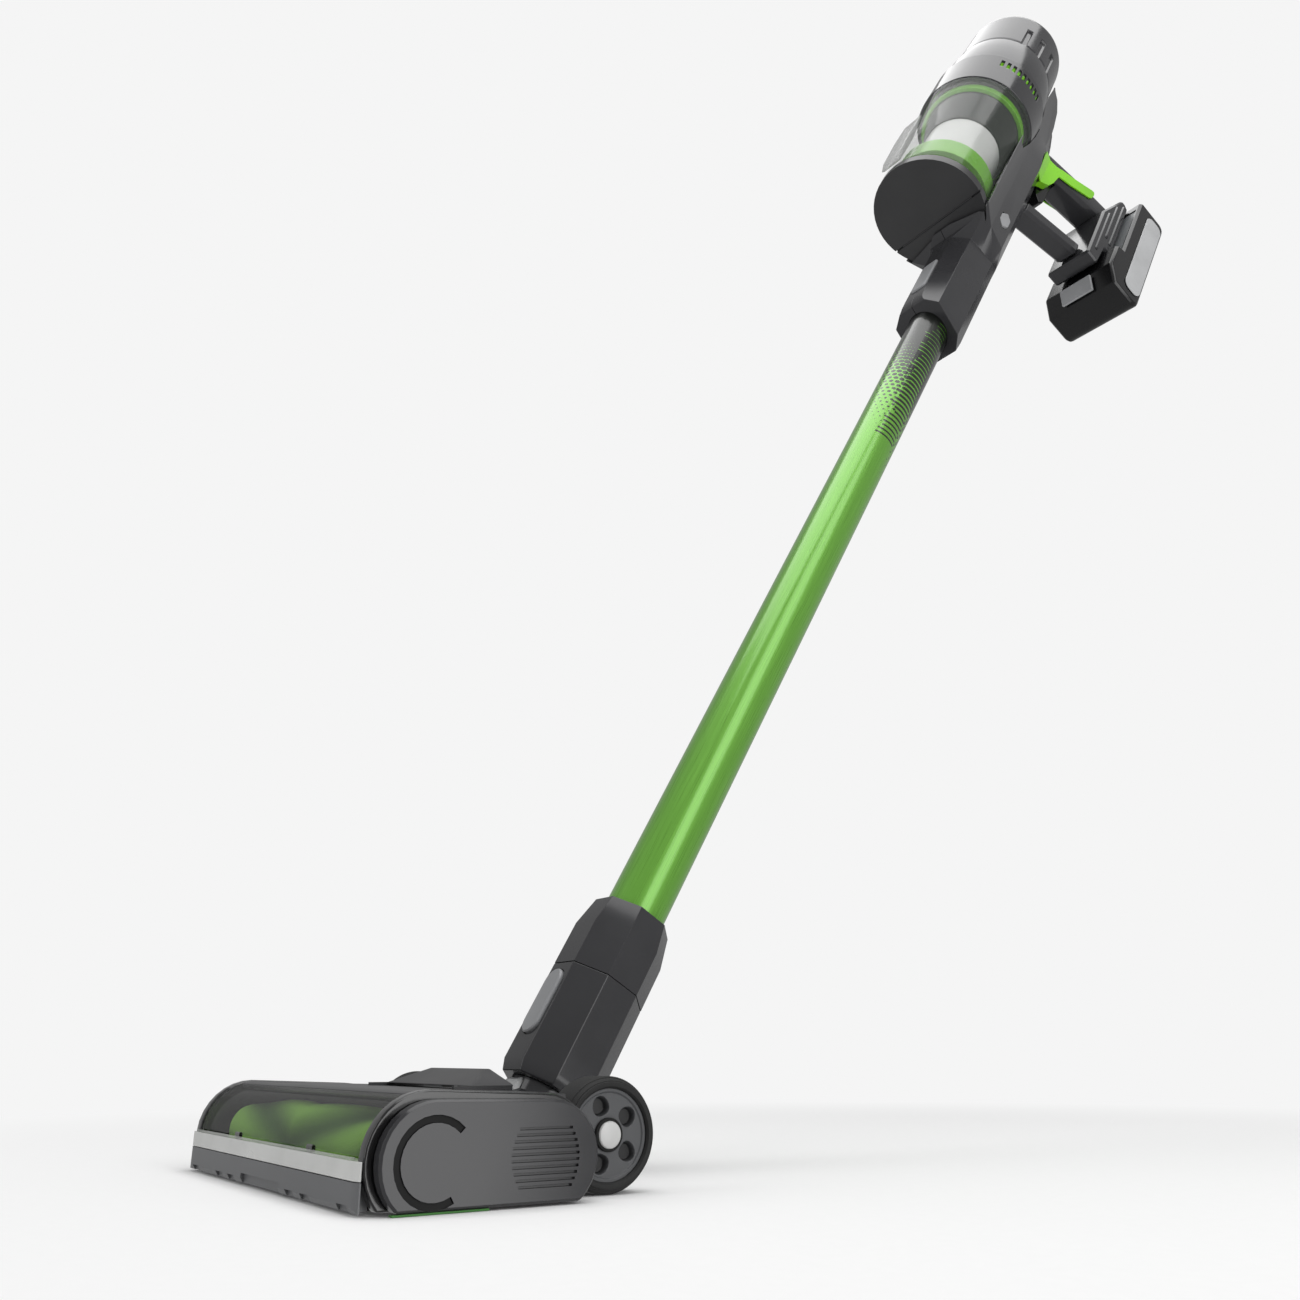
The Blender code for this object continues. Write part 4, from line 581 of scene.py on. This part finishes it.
hub_material = nylon_hub()
cap_material = moulded("moulded_abs_pale", "#C8C8C7", rough=0.3, coat=0.2)
for side_name, side in (("left", 1), ("right", -1)):
    body = "wheel_" + side_name
    use(hub_face("hub_" + side_name, side), hub_material, body, "wheel_hub_" + side_name,
        "wheel_hub_" + side_name)
    face = side * WHEEL_FACE
    cap = [(0.0004, face - side * 0.0036), (0.0056, face - side * 0.0036), (0.0056, face - side * 0.0010),
           (0.0052, face - side * 0.0005), (0.0042, face - side * 0.0002), (0.0004, face)]
    seat = [(0.0057, face - side * 0.0040), (0.0070, face - side * 0.0040), (0.0070, face - side * 0.0018),
            (0.0067, face - side * 0.0014), (0.0057, face - side * 0.0014)]
    use(turned("hub_seat_" + side_name, seat, (0, AXLE[1], AXLE[2]), (1, 0, 0), 64, closed=True),
        matt_black_with_groove_shade, body, "wheel_hub_" + side_name)
    use(turned("hub_cap_" + side_name, cap, (0, AXLE[1], AXLE[2]), (1, 0, 0), 64), cap_material, body,
        "wheel_hub_" + side_name)
    back = side * (WHEEL_FACE - WHEEL_WIDTH)
    tyre = [(HUB_RADIUS + 0.0001, back), (WHEEL_RADIUS - 0.0014, back),
            (WHEEL_RADIUS - 0.0004, back + side * 0.0004), (WHEEL_RADIUS, back + side * 0.0014),
            (WHEEL_RADIUS, face - side * 0.0036),
            (WHEEL_RADIUS - 0.0005, face - side * 0.0030), (WHEEL_RADIUS - 0.0008, face - side * 0.0030),
            (WHEEL_RADIUS - 0.0012, face - side * 0.0014), (WHEEL_RADIUS - 0.0018, face - side * 0.0008),
            (WHEEL_RADIUS - 0.0022, face - side * 0.0008), (WHEEL_RADIUS - 0.0024, face - side * 0.0001),
            (WHEEL_RADIUS - 0.0030, face), (HUB_RADIUS + 0.0009, face - side * 0.0002),
            (HUB_RADIUS + 0.0001, face - side * 0.0012)]
    use(turned("tyre_" + side_name + "_stepped", tyre, (0, AXLE[1], AXLE[2]), (1, 0, 0), 128, closed=True),
        rubber, body, "tyre_" + side_name, "tyre_" + side_name)


# ---- Hand unit: socket and spine -----------------------------------------------------------------
# Two charcoal ABS shells, split on the centre line, hold the wand's socket and the air duct; a
# grey button on the front frees the wand, and a hexagonal one on each side frees the bin.
for side in ("left", "right"):
    eased("spine_" + side, 0.0005, dark_plastic)
    eased("bin_release_button_" + side, 0.0005, grey_plastic)
eased("wand_release_button", 0.0005, grey_plastic)


# ---- Dust bin and lid ----------------------------------------------------------------------------
# A clear polycarbonate cylinder, a black two-part lid under it on a steel hinge pin, and a clear
# latch clipped to its front.
clear_bin = clear("clear_polycarbonate", "#5E665E", 0.14)
eased("dust_bin", 0.0005, clear_bin)
lid_black = moulded("moulded_abs_lid_black", "#2B2B2C", rough=0.33, coat=0.1)
eased("bin_lid", 0.0008, lid_black)
eased("lid_fixed_part", 0.0008, lid_black)
carried(lid_black, "lid_hinge_pin")
eased("lid_latch", 0.0008, clear("frosted_polycarbonate", "#6A6D69", 0.50, rough=0.3))


# ---- Cyclone -------------------------------------------------------------------------------------
# A white ABS shroud round a steel mesh, a green skirt and flange, and a black cone above.
green_plastic = moulded("moulded_abs_green", "#6DB61F", rough=0.28, coat=0.3)
eased("cyclone_shroud", 0.0005, moulded("moulded_abs_white", "#D9DAD8", rough=0.35, coat=0.2))
carried(steel, "mesh_screen")
eased("cyclone_skirt", 0.0006, green_plastic)
eased("cyclone_flange", 0.0006, green_plastic)
eased("cyclone_cone", 0.0005, black_plastic)


# ---- Motor housing and filter cap ----------------------------------------------------------------
# A charcoal collar with vents over a green ring, the motor's shell, and a ribbed cap that twists
# off over a foam filter; inside, a steel-cased motor and its impeller.
HAND_FOOT = 0.698                               # of the socket's mouth, up the wand
COLLAR_RADIUS = 0.0536
COLLAR_LOW, COLLAR_LENGTH = 0.2676, 0.0454      # above the socket's mouth, and up the wand
BIN_AXIS = -0.0515                              # t of the bin's and the motor's axis
VENT_LEVEL = 0.3003                             # of the slots' middle
VENT_COUNT, VENT_PITCH, VENT_DEPTH = 9, 0.0056, 0.0026
VENT_START = -0.0276                            # t of the first slot, from the collar's axis


def vented_collar():
    """Turned collar; radius drops 2.6 mm in nine slots a side, and tone is 1 at their floors."""
    angle = np.linspace(0, 2 * np.pi, 1080, endpoint=False)[None]
    outer = np.concatenate([[0.0, 0.0003, 0.0008], np.linspace(0.0012, 0.0442, 70),
                            [0.0446, 0.0451, COLLAR_LENGTH]])
    height = np.concatenate([outer, [COLLAR_LENGTH, COLLAR_LENGTH / 2, 0.0]])[:, None]
    radius = np.full(len(height), COLLAR_RADIUS)
    radius[:3] -= (0.0008, 0.0003, 0.0)
    radius[-6:] -= (0.0, 0.0003, 0.0008, 0.0030, 0.0030, 0.0030)
    centres = np.arcsin((VENT_START + VENT_PITCH * np.arange(VENT_COUNT)) / COLLAR_RADIUS)
    centres = np.concatenate([centres, np.pi - centres])
    off = np.min(np.abs(np.angle(np.exp(1j * (angle[..., None] - centres)))), -1) * COLLAR_RADIUS
    wide = np.clip((0.0016 - off) / 0.0004, 0, 1)
    tall = np.clip((0.0052 - np.abs(height + COLLAR_LOW - VENT_LEVEL)) / 0.0007, 0, 1)
    outside = np.arange(len(height))[:, None] < len(outer)
    slot = wide * tall * outside
    radius = radius[:, None] - VENT_DEPTH * slot
    grid = on_wand(radius * np.cos(angle), BIN_AXIS + radius * np.sin(angle),
                   HAND_FOOT + COLLAR_LOW + height)
    return skin("collar_vented", grid, loop=True, tone=slot, sharp=40)


def collar_plastic():
    """Charcoal ABS outside, with the green ring showing at the floor of the vents."""
    material, tree, shader = begin("moulded_abs_collar")
    depth = node(tree, "Attribute", attribute_name="tone")
    place = node(tree, "TexCoord")
    flow = node(tree, "TexNoise", {"Vector": place.outputs["Object"]}, Scale=1000 / 38.0, Detail=3.0)
    ramp = node(tree, "ValToRGB", {0: depth.outputs["Fac"]})
    ramp.color_ramp.elements[0].color = linear("#2B2B2D")
    ramp.color_ramp.elements[1].color = linear("#7CC422")
    ramp.color_ramp.elements[0].position = 0.70
    ramp.color_ramp.elements[1].position = 0.80
    gloss = node(tree, "MapRange", {0: flow.outputs["Fac"]}, in1=0.3, in2=0.7, in3=0.13, in4=0.19)
    tree.links.new(ramp.outputs[0], shader.inputs["Base Color"])
    tree.links.new(gloss.outputs[0], shader.inputs["Roughness"])
    return material


use(vented_collar(), collar_plastic(), "hand_unit", "bin_collar", "bin_collar")
carried(green_plastic, "vent_ring")
eased("motor_shell", 0.0006, dark_plastic)
CAP_AXIS = np.array(joints["cap_twist"]["pos_m"])
CAP_RADIUS = 0.0476
CAP_LENGTH = 0.0627
RECESS_ANGLES = (-22, -2, 18, 162, 182, 202)    # degrees, from the cap's +X side
RECESS_HALF_WIDTH, RECESS_DEPTH = 0.0029, 0.0018
RECESS_LOW, RECESS_HIGH = 0.0015, 0.0320        # above the cap's lower edge


def ribbed_cap():
    """Turned cap; its radius drops 1.8 mm where angle and height both lie in a finger recess."""
    angle = np.linspace(0, 2 * np.pi, 360, endpoint=False)[None]
    turn = np.linspace(0, np.pi / 2, 12)
    corner = np.stack([0.0284 + 0.0180 * np.sin(turn), CAP_LENGTH - 0.0120 * (1 - np.cos(turn))], 1)
    wall_heights = np.concatenate([np.linspace(CAP_LENGTH - 0.0125, 0.0045, 60), [0.0040, 0.0010, 0.0]])
    wall_radii = np.interp(wall_heights, [0.0, 0.0010, 0.0040, CAP_LENGTH - 0.012],
                           [CAP_RADIUS - 0.0010, CAP_RADIUS - 0.0006, CAP_RADIUS, 0.0464])
    rows = np.concatenate([[(0.0004, CAP_LENGTH)], corner, np.stack([wall_radii, wall_heights], 1),
                           [(0.0430, 0.0), (0.0422, 0.050), (0.0384, 0.0560), (0.0004, 0.0570)]])
    radius, height = rows[:, :1], rows[:, 1:]
    centres = np.radians(RECESS_ANGLES)
    off = np.min(np.abs(np.angle(np.exp(1j * (angle[..., None] - centres)))), -1) * CAP_RADIUS
    wide = np.clip((RECESS_HALF_WIDTH - off) / 0.0006, 0, 1)
    tall = np.clip((height - RECESS_LOW) / 0.0010, 0, 1) * np.clip((RECESS_HIGH - height) / 0.0010, 0, 1)
    outer = np.arange(len(rows))[:, None] < len(rows) - 4
    radius = radius - RECESS_DEPTH * wide * wide * (3 - 2 * wide) * tall * tall * (3 - 2 * tall) * outer
    x = radius * np.cos(angle)
    t = radius * np.sin(angle)
    grid = (CAP_AXIS + x[..., None] * (1.0, 0.0, 0.0) + t[..., None] * WAND_BACK
            + height[..., None] * WAND_UP)
    return skin("filter_cap_ribbed", grid, sharp=40)


use(ribbed_cap(), dark_plastic, "filter_cap", "filter_cap", "filter_cap")
carried(steel, "suction_motor")
carried(metal("cast_aluminium", "#A8AAAC", 0.4), "impeller")
carried(moulded("open_cell_foam", "#D2D2CE", rough=0.9, grain=1.2, depth=0.6), "exhaust_filter")


# ---- Grip, trigger and dock ----------------------------------------------------------------------
# The grip and strut run from the spine to the battery dock, all charcoal ABS; the grip has bright
# green inlays and a black sprung trigger.
eased("grip", 0.0004, dark_plastic)
eased("front_strut", 0.0004, dark_plastic)
GRIP_SIDE = 0.0143
INLAY_EDGES = ((0.0160, 0.0170, 0.0300, 0.0360, 0.0400, 0.0430, 0.0600, 0.0840, 0.0868, 0.0880),
               (0.2780, 0.2715, 0.2805, 0.2850, 0.2950, 0.3115, 0.3190, 0.3315, 0.3345, 0.3400),
               (0.3080, 0.3165, 0.3185, 0.3200, 0.3220, 0.3240, 0.3320, 0.3450, 0.3455, 0.3430))


def grip_inlay(name, side):
    """A 1.2 mm skin between a lower and an upper edge, which are lines of height over reach."""
    t = np.sort(np.concatenate([np.linspace(0.0160, 0.0880, 90), INLAY_EDGES[0]]))[:, None]
    low = np.interp(t, INLAY_EDGES[0], INLAY_EDGES[1])
    high = np.interp(t, INLAY_EDGES[0], INLAY_EDGES[2])
    share = np.array([0.0, 0.5, 1.0, 1.0, 0.5, 0.0])
    out = np.array([1, 1, 1, 0, 0, 0])
    height = low + (high - low) * share
    flare = np.interp(height, [0.270, 0.3165], [0.78, 0.40])
    x = GRIP_SIDE + 0.0001 + np.clip(0.0265 - t, 0, 1) * flare + out * 0.0012
    s = HAND_FOOT + height
    return skin(name, on_wand(side * x, t, s))


def trigger_cheek(name, side):
    """The guard beside the trigger, under the inlay: the same lower edge, up to the grip."""
    t = np.linspace(0.0252, 0.0418, 30)[:, None]
    low = np.interp(t, INLAY_EDGES[0], INLAY_EDGES[1]) + 0.0002
    top = 0.3038 + 0.26 * (t - 0.0243) - 0.0004
    share = np.array([0.0, 1.0, 1.0, 0.0])
    x = np.array([0.0086, 0.0086, GRIP_SIDE, GRIP_SIDE])
    return skin(name, on_wand(side * np.broadcast_to(x, (30, 4)), t, HAND_FOOT + low + (top - low) * share))


for side_name, side in (("left", 1), ("right", -1)):
    use(grip_inlay("grip_inlay_" + side_name, side), accent, "hand_unit", "grip_accent_" + side_name,
        "grip_accent_" + side_name)
    use(trigger_cheek("trigger_cheek_" + side_name, side), accent, "hand_unit", "grip_accent_" + side_name)
eased("trigger", 0.0012, black_plastic)
eased("battery_dock", 0.0004, dark_plastic)
DOCK_HALF_WIDTH = 0.0240
DOCK_REACH = 0.0998             # of the dock's front face behind the wand's axis


def dock_rib(name, side, t, width, low, high):
    """A raised rib on the dock's side: a low trapezium carried straight along the wand."""
    s = np.array([low, low + 0.0015, high - 0.0015, high])[:, None] + HAND_FOOT
    rise = np.array([0.0002, 0.0013, 0.0013, 0.0002])[:, None]
    foot = np.array([0, 1, 1, 0])
    x = DOCK_HALF_WIDTH + 0.0001 + rise * foot
    across = t + width * np.array([0.0, 0.25, 0.75, 1.0])
    return skin(name, on_wand(side * x, np.broadcast_to(across, (4, 4)), s))


for side_name, side in (("left", 1), ("right", -1)):
    for number, (t, low, high) in enumerate(((DOCK_REACH + 0.0060, 0.262, 0.326),
                                             (DOCK_REACH + 0.0120, 0.290, 0.346),
                                             (DOCK_REACH + 0.0190, 0.286, 0.356))):
        use(dock_rib("dock_rib_%s_%d" % (side_name, number), side, t, 0.0040, low, high), dark_plastic,
            "hand_unit", "battery_dock")


# ---- Battery -------------------------------------------------------------------------------------
# A black ABS case with a silver plate on each side; a grey latch on its sloping toe lets it slide
# down off the dock.
eased("battery_case", 0.0008, black_plastic)
carried(moulded("cell_wrap", "#6F7274", rough=0.4), "cell_pack")
silver = moulded("silver_painted_abs", "#A9AAAB", rough=0.3, coat=0.3)
for side in ("left", "right"):
    eased("battery_plate_" + side, 0.0004, silver)
eased("battery_latch", 0.0006, grey_plastic)


# ---- Room, lights and camera ---------------------------------------------------------------------
# A pale seamless sweep that fades into an even pale background, and soft boxes to the left, right
# and above; the camera is low in front of the floor head.
def sweep_paper():
    """White matt paper near the vacuum that turns, 0.35 to 0.9 m away, into an even glow."""
    material, tree, shader = begin("matt_white_paper", Roughness=0.95, Specular_IOR_Level=0.1)
    place = node(tree, "TexCoord")
    fibre = node(tree, "TexNoise", {"Vector": place.outputs["Object"]}, Scale=1000 / 6.0, Detail=2.0)
    tint = node(tree, "MapRange", {0: fibre.outputs["Fac"]}, in1=0.3, in2=0.7, in3=0.925, in4=0.935)
    tree.links.new(tint.outputs[0], shader.inputs["Base Color"])
    distance = node(tree, "VectorMath", {0: place.outputs["Object"]}, operation="LENGTH")
    far = node(tree, "MapRange", {0: distance.outputs["Value"]}, in1=0.35, in2=0.9, in3=0.0, in4=1.0,
               interpolation_type="SMOOTHSTEP")
    glow = node(tree, "Emission", Color=linear(BACKGROUND))
    both = node(tree, "MixShader", {0: far.outputs[0], 1: shader.outputs[0], 2: glow.outputs[0]})
    tree.links.new(both.outputs[0], tree.nodes["Material Output"].inputs["Surface"])
    return material


BACKGROUND = "#F5F5F5"
floor_grid = np.stack(np.meshgrid(np.linspace(-14, 14, 3), np.linspace(-14, 14, 3), indexing="ij"), -1)
floor_grid = np.concatenate([floor_grid, np.zeros((3, 3, 1))], -1)
floor = skin("studio_floor", floor_grid, ring=False)
floor.data.materials.append(sweep_paper())
floor.visible_glossy = False
floor.visible_shadow = False

world = bpy.data.worlds.new("studio")
bpy.context.scene.world = world
world.use_nodes = True
sky = world.node_tree
backdrop = sky.nodes["Background"]
backdrop.inputs["Color"].default_value = linear(BACKGROUND)
room_light = node(sky, "Background", Color=linear("#F5F5F5"), Strength=0.42)
rays = node(sky, "LightPath")
mixed_sky = node(sky, "MixShader", {0: rays.outputs["Is Camera Ray"], 1: room_light.outputs[0],
                                2: backdrop.outputs[0]})
sky.links.new(mixed_sky.outputs[0], sky.nodes["World Output"].inputs["Surface"])
bpy.context.scene.view_settings.view_transform = "Standard"


def softbox(name, place, target, width, height, power):
    """A rectangular area light that faces its target."""
    lamp = bpy.data.lights.new(name, "AREA")
    lamp.shape = "RECTANGLE"
    lamp.size = width
    lamp.size_y = height
    lamp.energy = power
    light = bpy.data.objects.new(name, lamp)
    bpy.context.collection.objects.link(light)
    aim = np.array(target, float) - np.array(place, float)
    back = -aim / np.linalg.norm(aim)
    side = np.cross((0.0, 0.0, 1.0), back)
    side /= np.linalg.norm(side)
    turn = np.stack([side, np.cross(back, side), back], 1)
    light.matrix_world = Matrix.Translation(place) @ Matrix(turn.tolist()).to_4x4()


softbox("box_front", (-0.35, -2.3, 1.1), (0, -0.2, 0.5), 0.8, 2.0, 9)
softbox("box_top", (0.1, 0.0, 2.6), (0, 0, 0.0), 2.2, 2.2, 36)
softbox("box_right", (1.6, 0.08, 1.15), (0.0, 0.08, 1.15), 0.865, 3.2, 20)

AZIMUTH, PITCH = math.radians(55.763), math.radians(18.723)
look = np.array([-math.sin(AZIMUTH) * math.cos(PITCH), math.cos(AZIMUTH) * math.cos(PITCH),
                 math.sin(PITCH)])
right = np.array([math.cos(AZIMUTH), math.sin(AZIMUTH), 0.0])
camera_data = bpy.data.cameras.new("camera")
camera_data.lens = 33.078
camera_data.sensor_width = 36.0
camera_data.clip_start = 0.01
camera = bpy.data.objects.new("camera", camera_data)
bpy.context.collection.objects.link(camera)
camera_turn = np.stack([right, np.cross(right, look), -look], 1)
CAMERA_PLACE = (0.5778, AXLE[1] - 0.3005, 0.0571)
camera.matrix_world = Matrix.Translation(CAMERA_PLACE) @ Matrix(camera_turn.tolist()).to_4x4()
bpy.context.scene.camera = camera
